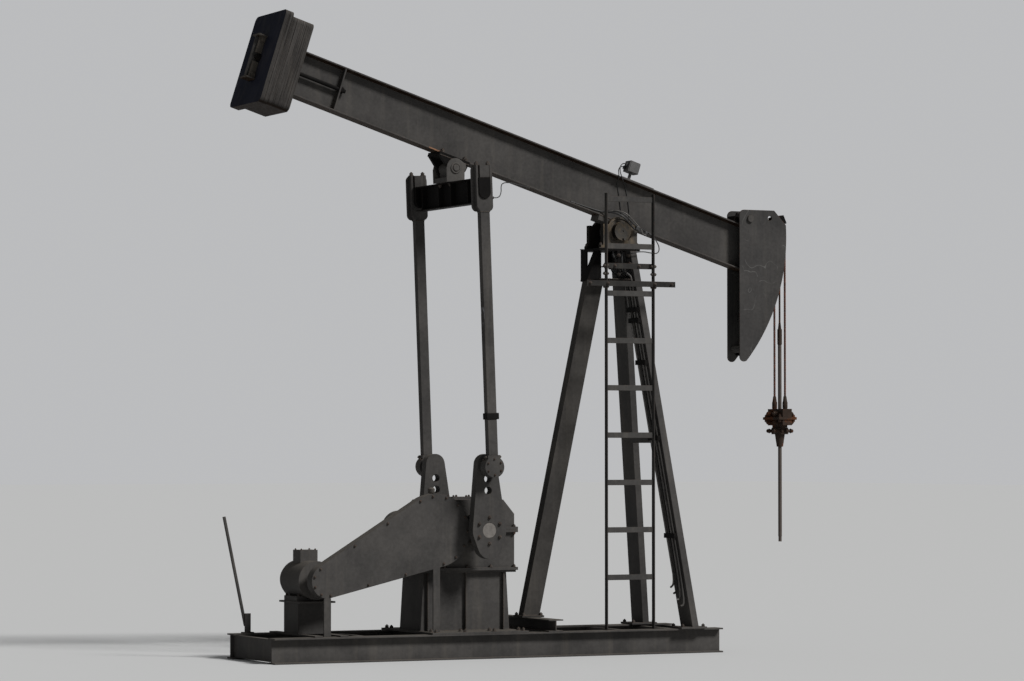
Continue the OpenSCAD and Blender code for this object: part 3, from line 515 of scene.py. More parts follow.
for name, piece in frame["nodes"].items():
    finish = FINISH.get(name, dark_paint)
    if not piece.material_slots:
        piece.data.materials.append(finish)
    for holder in piece.material_slots:
        holder.material = finish
print(len(frame["nodes"]), "frame pieces finished")

# %% [markdown]
# The floor is plain and pale. One large soft sun stands to the right of the camera, as in the
# photograph, and an even sky fills the shade, so a colour shows about as it is written.

# %% Floor, sky and sun
floor_mesh = bpy.data.meshes.new("floor")
floor_mesh.from_pydata([(-90, -90, 0), (90, -90, 0), (90, 150, 0), (-90, 150, 0)], [], [(0, 1, 2, 3)])
floor = linked("floor", floor_mesh)
floor_paint = bpy.data.materials.new("floor")
floor_paint.use_nodes = True
floor_look = floor_paint.node_tree.nodes["Principled BSDF"].inputs
floor_look["Base Color"].default_value = (0.52, 0.52, 0.515, 1)
floor_look["Roughness"].default_value = 0.9
floor_mesh.materials.append(floor_paint)

world = bpy.data.worlds.new("sky")
bpy.context.scene.world = world
world.use_nodes = True
sky = world.node_tree
seen = put(sky, "ShaderNodeBackground", {"Color": (0.50, 0.505, 0.515, 1), "Strength": 1.0})
path, pick = put(sky, "ShaderNodeLightPath").outputs, put(sky, "ShaderNodeMixShader")
lit = sky.nodes["Background"]
lit.inputs["Color"].default_value, lit.inputs["Strength"].default_value = (0.96, 0.98, 1.0, 1), 0.20
either = worked(sky, "MAXIMUM", path["Is Camera Ray"], path["Is Transmission Ray"])
join(sky, (either, pick.inputs[0]), (lit.outputs[0], pick.inputs[1]), (seen.outputs[0], pick.inputs[2]),
     (pick.outputs[0], sky.nodes["World Output"].inputs["Surface"]))
sun = linked("sun", bpy.data.lights.new("sun", "SUN"))
sun.data.energy, sun.data.angle = 3.7, math.radians(14)
sun.rotation_mode = "QUATERNION"
sun.rotation_quaternion = Vector((0.50, -0.80, 0.86)).to_track_quat("Z", "Y")
bpy.context.scene.view_settings.view_transform = "Standard"
print("sun energy", sun.data.energy, "sky", lit.inputs["Strength"].default_value)

# %% [markdown]
# A wire rope is six strands laid round each other. A ring with six lobes, swept along the rope's path
# and tilted as it goes, gives that lay with few faces. The same tree with a plain ring makes hoses
# and pipes, so one tree has an input for the depth of the lobes.

# %% The tree for ropes and hoses
def rope_tree():
    tree, given, out = geometry_tree("rope", Radius=0.0095, Sides=18, Lobes=0.0, Turns=0.0, Material=None)
    run, share = put(tree, "GeometryNodeSplineParameter"), put(tree, "GeometryNodeSplineParameter")
    line = fed(tree, "GeometryNodeMeshToCurve", {0: given["Geometry"]})
    tilt = times(tree, run.outputs["Length"], given["Turns"])
    turned = fed(tree, "GeometryNodeSetCurveTilt", {0: line, "Tilt": tilt})
    ring = fed(tree, "GeometryNodeCurvePrimitiveCircle", {"Resolution": given["Sides"],
                                                          "Radius": given["Radius"]})
    lobe = worked(tree, "COSINE", times(tree, share.outputs["Factor"], 6 * math.tau))
    grown = fed(tree, "ShaderNodeMath", {0: times(tree, lobe, given["Lobes"]), 1: 1.0}, operation="ADD")
    spot = scaled(tree, put(tree, "GeometryNodeInputPosition").outputs[0], grown)
    shaped = fed(tree, "GeometryNodeSetPosition", {0: ring, "Position": spot})
    swept = fed(tree, "GeometryNodeCurveToMesh", {"Curve": turned, "Profile Curve": shaped,
                                                  "Fill Caps": True})
    return finish_tree(tree, given, out, fed(tree, "GeometryNodeSetShadeSmooth", {0: swept}))


ROPE = rope_tree()


def curve_through(points, steps):
    """The smooth curve that the CAD draws through the points of a route."""
    done = []
    for i in range(len(points) - 1):
        a, b = points[max(i - 1, 0)], points[i]
        c, d = points[i + 1], points[min(i + 2, len(points) - 1)]
        for k in range(steps):
            t = k / steps
            cubic = t * (3 * b - a - 3 * c + d)
            done.append(b + t / 2 * (c - a + t * (2 * a - 5 * b + 4 * c - d + cubic)))
    return done + [points[-1]]


def length_of(points):
    return sum((b - a).length for a, b in zip(points, points[1:]))


def tube(name, points, radius, finish, sides=12, lobes=0.0, turns=0.0):
    edges = [(i, i + 1) for i in range(len(points) - 1)]
    return grow(name, ROPE, points, edges, Radius=radius, Sides=sides, Lobes=lobes, Turns=turns,
                Material=finish)


print("rope tree:", len(ROPE.nodes), "nodes")

# %% [markdown]
# Two free cords show: a signal cable that leaves the post, drops into a loop and climbs to a clip on
# the beam, and a grease hose from the near pitman to a clip by the tail bracket. Both cross a joint,
# and are left on neither body. Their routes are the ones the CAD sweeps.

# %% The loop cable and the grease hose
LOOP = [(70, -184, -185), (70, -198, -185), (96, -208, -180), (140, -210, -170), (200, -210, -168),
        (262, -208, -176), (318, -200, -176), (350, -182, -148), (358, -156, -105),
        (342, -132, -58), (316, -118, -24), (297, -108, -7), (297, -90, -7)]
HOSE = [(90, -630, -275), (118, -630, -275), (150, -618, -262), (178, -590, -225), (200, -550, -185),
        (235, -500, -157), (300, -430, -142), (380, -350, -138), (460, -270, -140),
        (540, -200, -146), (610, -150, -152), (655, -120, -156), (678, -105, -156), (678, -90, -156)]


def free_cord(name, node, route, place, radius):
    points = curve_through([place(*(c / 1000 for c in p)) for p in route], 6)
    piece = tube(name, points, radius, hose_rubber)
    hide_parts(node)
    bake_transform(piece)
    print(name, "is", round(length_of(points), 3), "m long")


free_cord("signal_loop", "loop_cable", LOOP, on_pivot, 0.0045)
free_cord("grease_line", "grease_hose", HOSE, on_hang, 0.0040)

# %% [markdown]
# The two wires hang from a bar high in the horse head. As the head rises they wrap round its curved
# face, so the hanging stretch shortens and the arc on the face lengthens. Here each is a hanging
# stretch that rides on the carrier and a short arc on the face, made at rest.

# %% The hanging wires and the arcs on the face
WIRE_Y, WIRE_R, CARRIER_Z, STROKE, SEAT = 0.087, 0.00912, PIVOT - 1.468, 1.067, 0.0003
STRANDS = {"sides": 24, "lobes": 0.06, "turns": 52.0}
drop = PIVOT - 0.002 - CARRIER_Z - SEAT


def joined(name, parts):
    """Several meshes made one piece."""
    bpy.ops.object.select_all(action="DESELECT")
    for part in parts:
        part.select_set(True)
    bpy.context.view_layer.objects.active = parts[0]
    bpy.ops.object.join()
    parts[0].name = name
    return parts[0]


pair = []
for i, s in enumerate(BOTH):
    points = [as_is(HEAD_R, s * WIRE_Y, CARRIER_Z + SEAT + drop * k / 120) for k in range(121)]
    pair.append(tube(f"hanging_{i}", points, WIRE_R, rope_steel, **STRANDS))
hanging = joined("hanging_wires", pair)
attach(hanging, "carrier")
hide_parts("wires")
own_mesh(hanging)
for i, s in enumerate(BOTH):
    angles = [math.radians(4.0 * k / 36 - 0.1) for k in range(37)]
    arc = [on_pivot(HEAD_R * math.cos(a), s * WIRE_Y, HEAD_R * math.sin(a)) for a in angles]
    wrapped = tube(f"wrapped_wire_{i}", arc, WIRE_R, rope_steel, **STRANDS)
    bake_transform(wrapped)
print("hanging wires", round(drop, 3), "m")

# %% [markdown]
# Bolts hold nearly everything here. One tree stands a hex head, a washer and a stub of thread on each
# point of a mesh. Two attributes on the points say which way a bolt aims and how wide its head is, and
# a seeded random turn keeps the flats from lining up. All the bolts of one body are one mesh.

# %% The bolt tree
SIXTH = 1.047  # of a turn, in radians: a hex head looks the same after it


def bolt_tree():
    tree, given, out = geometry_tree("hex_bolts", Head=0.6, Seed=4, Material=None)
    rise = fed(tree, "ShaderNodeMath", {0: times(tree, given["Head"], 0.5), 1: 0.12}, operation="ADD")
    middle = fed(tree, "ShaderNodeCombineXYZ", {"Z": rise})
    whole = put(tree, "GeometryNodeJoinGeometry")
    for sides, radius, depth, place in ((6, 0.577, given["Head"], middle), (18, 0.72, 0.14, (0, 0, 0.05)),
                                        (10, 0.27, 0.5, (0, 0, 0.75))):
        part = fed(tree, "GeometryNodeMeshCylinder", {"Vertices": sides, "Radius": radius, "Depth": depth})
        moved = fed(tree, "GeometryNodeTransform", {0: part, "Translation": place})
        join(tree, (moved, whole.inputs[0]))
    aims = put(tree, "GeometryNodeInputNamedAttribute", {"Name": "aim"}, data_type="FLOAT_VECTOR")
    wide = put(tree, "GeometryNodeInputNamedAttribute", {"Name": "across"}, data_type="FLOAT")
    align = fed(tree, "FunctionNodeAlignRotationToVector", {"Vector": aims.outputs[0]}, axis="Z")
    chance = put(tree, "FunctionNodeRandomValue", {3: SIXTH}, data_type="FLOAT")
    feed(tree, given["Seed"], chance.inputs["Seed"])
    spin = fed(tree, "ShaderNodeCombineXYZ", {"Z": chance.outputs[1]})
    turn = fed(tree, "FunctionNodeEulerToRotation", {0: spin})
    turned = fed(tree, "FunctionNodeRotateRotation", {0: align, 1: turn}, rotation_space="LOCAL")
    stand = fed(tree, "GeometryNodeInstanceOnPoints", {
        "Points": given["Geometry"], "Instance": whole.outputs[0], "Rotation": turned,
        "Scale": wide.outputs[0]})
    return finish_tree(tree, given, out, stand)


BOLTS = bolt_tree()
bolts = {body: [] for body in frame["bodies"]}


def bolt(body, at, aims, across=0.024):
    bolts[body].append((Vector(at), Vector(aims).normalized(), across))


def both_sides(body, at, aims, across=0.024):
    """A bolt and its twin on the far side."""
    bolt(body, at, aims, across)
    bolt(body, (at[0], -at[1], at[2]), (aims[0], -aims[1], aims[2]), across)


UP, DOWN, NEAR, FAR = Vector((0, 0, 1)), Vector((0, 0, -1)), Vector((0, -1, 0)), Vector((0, 1, 0))
print("bolt tree:", len(BOLTS.nodes), "nodes")

# %% [markdown]
# The bolts of the base go from the top down: the post's head and its bearings, the ladder's brackets,
# the feet of the legs, the gear reducer and the motor. A twin on the far side comes from `both_sides`.

# %% Bolts of the post, the ladder and the base
DECK, CRANK_X, CRANK_Z, REDUCER_X, MOTOR_X, MOTOR_Z = 0.2193, -1.397, 1.033, -1.457, -2.75, 0.64
LADDER_X, BAR_Z, BRACKET_Z = -0.037, 3.053, (3.201, 3.135, 3.027)
for x in (-0.171, 0.171):
    both_sides("base", on_pivot(x, -0.1265, -0.1157), UP, 0.026)
for x, z in ((0.066, -0.20), (0.078, -0.27), (-0.027, -0.20), (-0.027, -0.36)):
    both_sides("base", on_pivot(x, -0.172, z), NEAR, 0.022)
for z in BRACKET_Z:
    for side in BOTH:
        bolt("base", (LADDER_X + side * 0.225, -0.385, z), (side, 0, 0), 0.024)
        bolt("base", (LADDER_X + side * 0.215, -0.385, z), (-side, 0, 0), 0.02)
for x in (-0.257, 0.183, 0.34, -0.42):
    bolt("base", (x, -0.4143, BAR_Z), NEAR, 0.02)
for x in (-0.165, 0.06):
    bolt("base", (x, -0.3657, BRACKET_Z[0]), NEAR, 0.02)
for dx in (-0.08, 0.08):
    both_sides("base", (-0.7791 + dx, -0.066, 0.3196), UP, 0.024)
    for dy in (-0.08, 0.08):
        both_sides("base", (0.4863 + dx * 1.2, -0.4298 + dy, DECK), UP, 0.024)
for dx in (-0.39, -0.13, 0.13, 0.39):
    for y in (-0.475, -0.385):
        both_sides("base", (REDUCER_X + dx, y, DECK), UP, 0.026)
for k in range(8):
    x = REDUCER_X - 0.42 + 0.12 * k
    both_sides("base", (x, -0.246, 1.0553), UP, 0.022)
    both_sides("base", (x, -0.246, 1.0107), DOWN, 0.022)
for k in range(5):
    both_sides("base", (REDUCER_X - 0.42 + 0.21 * k, -0.246, 0.7272), UP, 0.024)
for x, z in circle(8, 0.106, 22.5):
    both_sides("base", (CRANK_X + x, -0.270, CRANK_Z + z), NEAR, 0.02)
for x, y in ((-0.115, -0.095), (0.0, -0.095), (0.115, -0.095), (-0.115, 0.0), (0.115, 0.0)):
    for s in (BOTH if y else (1,)):
        bolt("base", (CRANK_X + x, s * y, 1.2983), UP, 0.016)
for x in (-0.125, 0.125):
    for y in (-0.09, 0.15):
        bolt("base", (MOTOR_X + x, y, 0.515), UP, 0.02)
for x, y in ((-0.06, 0.01), (0.06, 0.01), (-0.06, 0.13), (0.06, 0.13)):
    bolt("base", (MOTOR_X + x, y, 0.88), UP, 0.012)
for x, z in circle(6, 0.115):
    bolt("base", (MOTOR_X + x, 0.275, MOTOR_Z + z), FAR, 0.014)
print("base bolts:", len(bolts["base"]))

# %% [markdown]
# The belt guard is a flat cover round two pulleys. Its rim follows both circles and the two straight
# runs that touch them, and screws stand along it.

# %% Bolts round the belt guard's cover
BIG, SMALL = Vector((CRANK_X - 0.4, CRANK_Z)), Vector((MOTOR_X, MOTOR_Z))
BIG_R, SMALL_R = 0.275, 0.115
run = BIG - SMALL
open_a, line_a = math.pi / 2 + math.asin((BIG_R - SMALL_R) / run.length), math.atan2(run.y, run.x)
rim = []
for middle, radius, start, sweep, steps in ((BIG, BIG_R, -open_a, 2 * open_a, 8),
                                            (SMALL, SMALL_R, open_a, math.tau - 2 * open_a, 4)):
    for k in range(steps + 1):
        a = line_a + start + k / steps * sweep
        rim.append(middle + radius * Vector((math.cos(a), math.sin(a))))
for share in (0.33, 0.66):
    rim += [rim[8].lerp(rim[9], share), rim[13].lerp(rim[0], share)]
for spot in rim:
    bolt("base", (spot.x, -0.380, spot.y), NEAR, 0.016)
print("with the guard's:", len(bolts["base"]))

# %% [markdown]
# The moving bodies come last. Then all the bolts of each body are grown as one mesh.

# %% Bolts of the beam, the pitmans, the cranks and the carrier
PITMAN_L, STUD_Z = 2.4378, (-0.040, -0.118, -0.188)
across_beam = on_beam(0, 0, 1) - on_beam(0, 0, 0)
for u, size in ((-1.704, 0.03), (-1.495, 0.03), (-0.16, 0.026), (0.16, 0.026)):
    both_sides("beam", on_beam(u, -0.045, 0.1035), across_beam, size)
for u in (-1.72, -1.50):
    both_sides("beam", on_beam(u, -0.098, 0.0897), across_beam, 0.024)
for u in (1.10, 1.20):
    both_sides("beam", on_beam(u, -0.052, 0.4763), across_beam, 0.018)
lean_x, lean_up = on_hang(1, 0, 0) - on_hang(0, 0, 0), on_hang(0, 0, 1) - on_hang(0, 0, 0)
for x in (-0.052, 0.052):
    both_sides("equalizer", on_hang(x, -0.62, -0.012), lean_up, 0.03)
    both_sides("equalizer", on_hang(x * 0.73, -0.095, -0.1245), -lean_up, 0.024)
for side in BOTH:
    for y, z in ((-0.60, 0.060), (-0.64, 0.080)):
        both_sides("equalizer", on_hang(side * 0.055, y, z - PITMAN_L), lean_x * side, 0.018)
for x, z in circle(6, 0.064, 30):
    both_sides("equalizer", on_hang(x, -0.665, z - PITMAN_L), NEAR, 0.013)
for x, z in circle(6, 0.105, 30):
    both_sides("cranks", (CRANK_X + x, -0.53, CRANK_Z + z), NEAR, 0.022)
for z in STUD_Z:
    for side in BOTH:
        for out in (0.045, 0.074):
            both_sides("carrier", (HEAD_R + side * out, -0.05, CARRIER_Z + z), (side, 0, 0), 0.028)
for x in (-0.068, 0.068):
    both_sides("carrier", (HEAD_R + x, -0.11, CARRIER_Z - 0.092), DOWN, 0.026)
    both_sides("carrier", (HEAD_R + x, -0.11, CARRIER_Z - 0.070), UP, 0.026)
for x in (-0.025, 0.025):
    both_sides("carrier", (HEAD_R + x, -0.065, CARRIER_Z - 0.188), NEAR, 0.024)
for body, spots in bolts.items():
    if spots:
        piece = grow(body + "_bolts", BOLTS, [s[0] for s in spots],
                     attributes={"aim": [s[1] for s in spots], "across": [s[2] for s in spots]},
                     Material=rusty_steel if body == "carrier" else bolt_steel)
        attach(piece, body)
print({body: len(spots) for body, spots in bolts.items()})

# %% [markdown]
# The main plates are welded. A weld bead is a row of overlapping drops, so a tree sets small rounded
# grains along each seam, with a seeded random size, and they are rusty where the paint never took.

# %% The weld tree and the seams
def weld_tree():
    tree, given, out = geometry_tree("weld_bead", Bead=0.005, Pitch=0.007, Seed=9, Material=None)
    line = fed(tree, "GeometryNodeMeshToCurve", {0: given["Geometry"]})
    pitch = {"Curve": line, "Length": given["Pitch"]}
    steps = fed(tree, "GeometryNodeResampleCurve", pitch, mode="LENGTH")
    drop = fed(tree, "GeometryNodeMeshIcoSphere", {"Radius": given["Bead"], "Subdivisions": 1})
    size = put(tree, "FunctionNodeRandomValue", {2: 0.8, 3: 1.25}, data_type="FLOAT")
    feed(tree, given["Seed"], size.inputs["Seed"])
    stand = fed(tree, "GeometryNodeInstanceOnPoints", {"Points": steps, "Instance": drop,
                                                       "Scale": size.outputs[1]})
    return finish_tree(tree, given, out, fed(tree, "GeometryNodeSetShadeSmooth", {0: stand}))


WELDS = weld_tree()


def seams(name, body, lines):
    """Weld beads along straight seams, each from one point to the next."""
    verts, edges = [], []
    for line in lines:
        start = len(verts)
        verts += [Vector(p) for p in line]
        edges += [(start + i, start + i + 1) for i in range(len(line) - 1)]
    piece = grow(name, WELDS, verts, edges, Material=bolt_steel)
    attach(piece, body)


def twins(place, start, end):
    """A straight seam on the near side and the same on the far side."""
    return [[place(x, s * y, z) for x, y, z in (start, end)] for s in BOTH]


seams("beam_welds", "beam", twins(on_beam, (-2.724, 0.006, 0.112), (-2.724, 0.006, 0.44))
      + twins(on_beam, (-2.712, 0.006, 0.44), (-2.712, 0.006, 0.112))
      + twins(on_beam, (-1.740, 0.1155, 0.064), (-1.477, 0.1155, 0.064))
      + twins(on_beam, (-0.186, 0.068, 0.0895), (0.186, 0.068, 0.0895)))
seams("post_welds", "base", twins(on_pivot, (-0.205, 0.1725, -0.14), (0.17, 0.1725, -0.14))
      + twins(on_pivot, (-0.205, 0.1725, -0.398), (0.11, 0.1725, -0.398))
      + twins(as_is, (-0.854, 0.046, 0.3196), (-0.704, 0.046, 0.3196))
      + twins(as_is, (REDUCER_X - 0.4, 0.20, DECK), (REDUCER_X + 0.4, 0.20, DECK))
      + [[(REDUCER_X + dx, s * 0.228, z) for z in (0.225, 0.685)]
         for s in BOTH for dx in (-0.347, -0.007, 0.333)])
seams("pitman_welds", "equalizer", twins(on_hang, (0.04, 0.5905, -0.388), (-0.04, 0.5905, -0.388))
      + twins(on_hang, (0.04, 0.6505, -0.388), (-0.04, 0.6505, -0.388)))
print("three sets of welds")

# %% [markdown]
# Small fabricated pieces are bars and plates with broken edges. `bars` makes several in one mesh. Each
# has a size, a centre and the place it is turned to, and a bevel takes off its edges to catch light.

# %% Bars and plates
def poured(work, one):
    """Adds one working mesh to another."""
    passing = bpy.data.meshes.new("passing")
    one.to_mesh(passing)
    one.free()
    work.from_mesh(passing)
    bpy.data.meshes.remove(passing)


def finished(name, body, work, finish):
    """The piece that a working mesh becomes."""
    bmesh.ops.recalc_face_normals(work, faces=work.faces)
    mesh = bpy.data.meshes.new(name)
    work.to_mesh(mesh)
    work.free()
    mesh.materials.append(finish)
    piece = linked(name, mesh)
    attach(piece, body)
    print(name, len(mesh.polygons), "faces")
    return piece


def bars(name, body, finish, parts, edge=0.002):
    work = bmesh.new()
    for size, at, place in parts:
        turn = turn_of(place).to_4x4()
        turn.translation = place(*at)
        one = bmesh.new()
        bmesh.ops.create_cube(one, size=1.0)
        bmesh.ops.scale(one, vec=size, verts=one.verts)
        bmesh.ops.bevel(one, geom=one.edges[:], offset=min(edge, min(size) * 0.3), segments=2,
                        profile=0.5, affect="EDGES")
        bmesh.ops.transform(one, matrix=turn, verts=one.verts)
        poured(work, one)
    finished(name, body, work, finish)


print("bars are ready")

# %% [markdown]
# Across the last weight plate runs a short channel bar with a foot at each end, and the nuts of the
# tie rods bear on its middle. It stops the plates from walking off the beam.

# %% The channel bar on the last weight plate
channel, middle = [], 0.276
for s in BOTH:
    w = middle + s * 0.104
    channel.append(((0.007, 0.066, 0.136), (-3.4455, 0, w), on_beam))
    channel += [((0.054, 0.008, 0.136), (-3.468, v, w), on_beam) for v in (-0.033, 0.033)]
    channel.append(((0.076, 0.128, 0.012), (-3.480, 0, middle + s * 0.178), on_beam))
    channel += [((0.034, 0.010, 0.040), (-3.460, v, middle + s * 0.152), on_beam) for v in (-0.047, 0.047)]
channel_paint = steel("channel_paint", (0.058, 0.052, 0.045), dustiness=0.55, rustiness=0.35, wear=0.8)
bars("weight_channel", "beam", channel_paint, channel)

# %% [markdown]
# On both sides of the tail bearing a cheek plate stands on the equalizer and rises in an arc round the
# pin. A cheek is its outline, drawn once and given a thickness. The near pitman has a band low down.

# %% The cheeks of the tail bearing and the band on the near pitman
def cheeks(name, body, finish, outline, sides, place, edge=0.002):
    """Plates of one outline in X and Z, each between two values of Y."""
    work = bmesh.new()
    for low, high in sides:
        one = bmesh.new()
        rings = [[one.verts.new(place(x, y, z)) for x, z in outline] for y in (low, high)]
        one.faces.new(rings[0])
        one.faces.new(rings[1][::-1])
        for k in range(len(outline)):
            n = (k + 1) % len(outline)
            one.faces.new((rings[0][k], rings[1][k], rings[1][n], rings[0][n]))
        bmesh.ops.recalc_face_normals(one, faces=one.faces)
        rim = [e for e in one.edges if e.calc_face_angle(0) > 1.0]
        bmesh.ops.bevel(one, geom=rim, offset=edge, segments=2, profile=0.5, affect="EDGES")
        poured(work, one)
    finished(name, body, work, finish)


arch = [(-0.084, -0.112), (-0.084, 0.0)]
arch += [(-0.080 * math.cos(a), 0.080 * math.sin(a)) for a in (math.radians(8 * k) for k in range(1, 17))]
arch += [(0.092, 0.030), (0.096, 0.000), (0.080, -0.028), (0.076, -0.112)]
cheek_paint = steel("cheek_paint", (0.062, 0.059, 0.056), dustiness=0.5, rustiness=0.1)
cheeks("tail_cheeks", "equalizer", cheek_paint, arch, [(-0.133, -0.121), (0.121, 0.133)], on_hang)
band = ((0.112, 0.076, 0.052), (0.004, -0.62, -2.03), on_hang)
bars("pitman_band", "equalizer", sooty_paint, [band], 0.006)

# %% [markdown]
# A tilt sensor stands on the beam. Two thin cables leave it over the flange's edge and run down the
# web. Three thicker ones lie on the lower flange, drape over the bearing and end in the clip.

# %% Cables on the beam
def laid(name, body, finish, route, place, radius):
    piece = tube(name, curve_through([place(*p) for p in route], 5), radius, finish, 10)
    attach(piece, body)


DRAPES = {
    "drape_thick": (0.0080, hose_rubber, [
        (-0.46, -0.030, 0.113), (-0.30, -0.045, 0.112), (-0.20, -0.060, 0.116), (-0.15, -0.085, 0.126),
        (-0.11, -0.130, 0.132), (-0.078, -0.168, 0.128), (-0.045, -0.188, 0.121), (-0.01, -0.192, 0.110),
        (0.040, -0.192, 0.084), (0.102, -0.190, 0.056), (0.158, -0.180, 0.059), (0.206, -0.130, 0.072),
        (0.240, -0.094, 0.078), (0.285, -0.090, 0.077)]),
    "drape_thin": (0.0060, hose_rubber, [
        (-0.42, -0.050, 0.110), (-0.20, -0.066, 0.118), (-0.13, -0.095, 0.140), (-0.085, -0.150, 0.150),
        (-0.045, -0.190, 0.142), (0.0, -0.198, 0.127), (0.055, -0.200, 0.099), (0.110, -0.198, 0.082),
        (0.165, -0.184, 0.078), (0.215, -0.130, 0.088), (0.255, -0.094, 0.092), (0.300, -0.088, 0.090)]),
    "drape_tan": (0.0050, bright_pipe, [
        (-0.16, -0.074, 0.112), (-0.11, -0.120, 0.146), (-0.06, -0.172, 0.156), (-0.015, -0.198, 0.150),
        (0.035, -0.204, 0.130), (0.080, -0.204, 0.107), (0.128, -0.198, 0.087), (0.175, -0.178, 0.068),
        (0.220, -0.125, 0.062), (0.270, -0.094, 0.064)]),
    "sensor_cable": (0.0042, hose_rubber, [
        (-0.036, -0.002, 0.590), (-0.064, -0.005, 0.592), (-0.096, -0.028, 0.570), (-0.115, -0.054, 0.534),
        (-0.112, -0.072, 0.494), (-0.09, -0.075, 0.462), (-0.066, -0.064, 0.440), (-0.034, -0.034, 0.424),
        (0.0, -0.0105, 0.404), (0.057, -0.0095, 0.307), (0.098, -0.0095, 0.218), (0.118, -0.013, 0.165),
        (0.132, -0.040, 0.125), (0.150, -0.072, 0.100)]),
    "sensor_cable_two": (0.0042, hose_rubber, [
        (-0.036, 0.020, 0.566), (-0.062, 0.016, 0.566), (-0.096, -0.012, 0.546), (-0.118, -0.044, 0.512),
        (-0.122, -0.069, 0.482), (-0.116, -0.075, 0.458), (-0.104, -0.06, 0.438), (-0.092, -0.028, 0.420),
        (-0.074, -0.0105, 0.394), (-0.038, -0.0095, 0.324), (-0.002, -0.0095, 0.25), (0.026, -0.0095, 0.19),
        (0.042, -0.013, 0.160), (0.050, -0.036, 0.126), (0.056, -0.058, 0.122)])}
for name, (radius, finish, route) in DRAPES.items():
    laid(name, "beam", finish, route, on_beam, radius)
glands = [((0.024, 0.030, 0.030), (-0.041, v, w), on_beam) for v, w in ((-0.002, 0.590), (0.020, 0.566))]
ties = [((0.034, 0.034, 0.036), (0.122, -0.193, 0.068), on_beam),
        ((0.026, 0.026, 0.030), (0.262, -0.092, 0.078), on_beam)]
bars("cable_ties", "beam", hose_rubber, glands + ties, 0.006)
lid = [((0.086, 0.004, 0.086), (0.016, -0.047, 0.5793), on_beam),
       ((0.092, 0.092, 0.005), (0.016, 0, 0.6265), on_beam)]
bars("sensor_lid", "beam", sensor_grey, lid, 0.0015)

# %% [markdown]
# Grease pipes run down the near front leg from the bearings, so that a person can grease them from the
# ground. Two are bright and two painted, and five dark clamps hold them. Hoses join them on top.

# %% Grease pipes, clamps and hoses by the post
LEG_TOP, LEG_SIDE = Vector((0.115, -0.102, 3.07)), Vector((0.125, -0.115, -1))


def by_leg(along, across_leg, out):
    """A place on the near front leg: metres down from its top, across it, and out from its back."""
    return LEG_TOP + along * LEG_SIDE + Vector((-out, across_leg, 0))


PIPES = ((-0.070, 0.016), (-0.030, 0.015), (0.012, 0.016), (0.050, 0.014))
for i, (shift, out) in enumerate(PIPES):
    foot = 2.62 - 0.05 * i
    route = [(d, shift, out) for d in (-0.012, 0.3, 1.2, 2.2, foot)]
    route[-1] = (foot, shift, out + 0.01)
    laid(f"grease_pipe_{i}", "base", bright_pipe if i % 2 else bar_paint,
         route + [(foot + 0.06, shift, out + 0.05)], by_leg, 0.0085)
clamps = [((0.034, 0.172, 0.040), by_leg(d, -0.010, 0.016), as_is) for d in (0.22, 0.31, 0.66, 1.29, 2.1)]
bars("pipe_clamps", "base", sooty_paint, clamps)
DROPS = ((0.060, -0.150, 0.098, -0.172), (0.020, -0.140, 0.096, -0.132),
         (-0.010, -0.130, 0.095, -0.090), (-0.060, -0.140, 0.060, -0.052))
for i, (x0, y0, x1, y1) in enumerate(DROPS):
    sway = 0.03 * math.sin(2.3 * i + 1)
    route = [(x0, y0, -0.162), (x0, y0, -0.20), (x0 + sway, y0 - 0.01, -0.25),
             (x0 - sway * 0.6, y0, -0.32), (x1 - 0.012, y1, -0.375), (x1, y1, -0.42)]
    laid(f"grease_drop_{i}", "base", hose_rubber if i % 2 else bright_pipe, route, on_pivot, 0.0075)
print(len(PIPES), "pipes and", len(DROPS), "hoses")

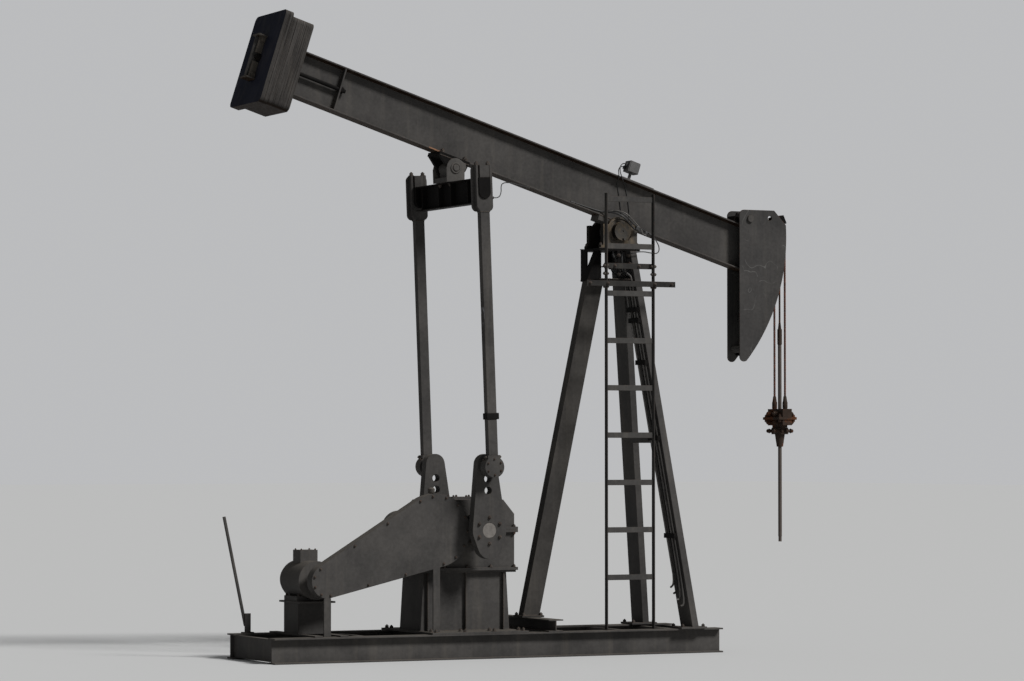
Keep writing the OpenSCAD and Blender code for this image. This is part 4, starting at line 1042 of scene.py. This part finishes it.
# %% [markdown]
# The wires end in swaged sockets on the carrier. A socket is a turned piece, so its outline is spun:
# rings of a given height and radius, joined by faces. The gear reducer's breather and plug and the
# caps of the tail pin are turned too. Six studs go through the carrier.

# %% Turned pieces
def turned(name, body, finish, slot, spots, sides=20, place=None):
    """Pieces turned round upright axes, or round Y where a place is given. Each spot is a centre and
    its rings of (height, radius)."""
    work = bmesh.new()
    for (x, y, z), outline in spots:
        rings = []
        for h, r in outline:
            flat = circle(sides, r)
            spun = [place(x + a, y + h, z + b) if place else as_is(x + a, y + b, z + h) for a, b in flat]
            rings.append([work.verts.new(v) for v in spun])
        for a, b in zip(rings, rings[1:]):
            for k in range(sides):
                work.faces.new((a[k], a[(k + 1) % sides], b[(k + 1) % sides], b[k]))
        work.faces.new(rings[0][::-1])
        work.faces.new(rings[-1])
    mesh = finished(name, body, work, finish).data
    mesh.shade_smooth()
    mesh.set_sharp_from_angle(angle=math.radians(35))


SOCKET = [(0.0, 0.020), (0.010, 0.022), (0.055, 0.022), (0.062, 0.019), (0.105, 0.013), (0.110, 0.010)]
BREATHER = [(0, 0.016), (0.05, 0.016), (0.055, 0.028), (0.085, 0.030), (0.095, 0.022), (0.098, 0.004)]
PLUG = [(0, 0.020), (0.02, 0.020), (0.022, 0.012), (0.04, 0.012)]
CAP = [(0.0, 0.046), (0.006, 0.046), (0.009, 0.043), (0.009, 0.033), (0.004, 0.031), (0.004, 0.028),
       (0.013, 0.027), (0.016, 0.023), (0.016, 0.003)]
turned("wire_sockets", "carrier", rusty_steel, "rusty_steel",
       [((HEAD_R, s * WIRE_Y, CARRIER_Z), SOCKET) for s in BOTH])
turned("reducer_fittings", "base", bolt_steel, "dark_paint",
       [((-1.62, 0.10, 1.2763), BREATHER), ((-1.20, -0.10, 1.2983), PLUG)])
turned("tail_pin_caps", "equalizer", cheek_paint, "dark_paint",
       [((0, s * 0.1325, 0), [(s * h, r) for h, r in CAP]) for s in BOTH], 32, on_hang)
studs = [((0.186, 0.015, 0.015), (HEAD_R, y, CARRIER_Z + z), as_is) for y in (-0.05, 0.05) for z in STUD_Z]
bars("carrier_studs", "carrier", rusty_steel, studs, 0.004)
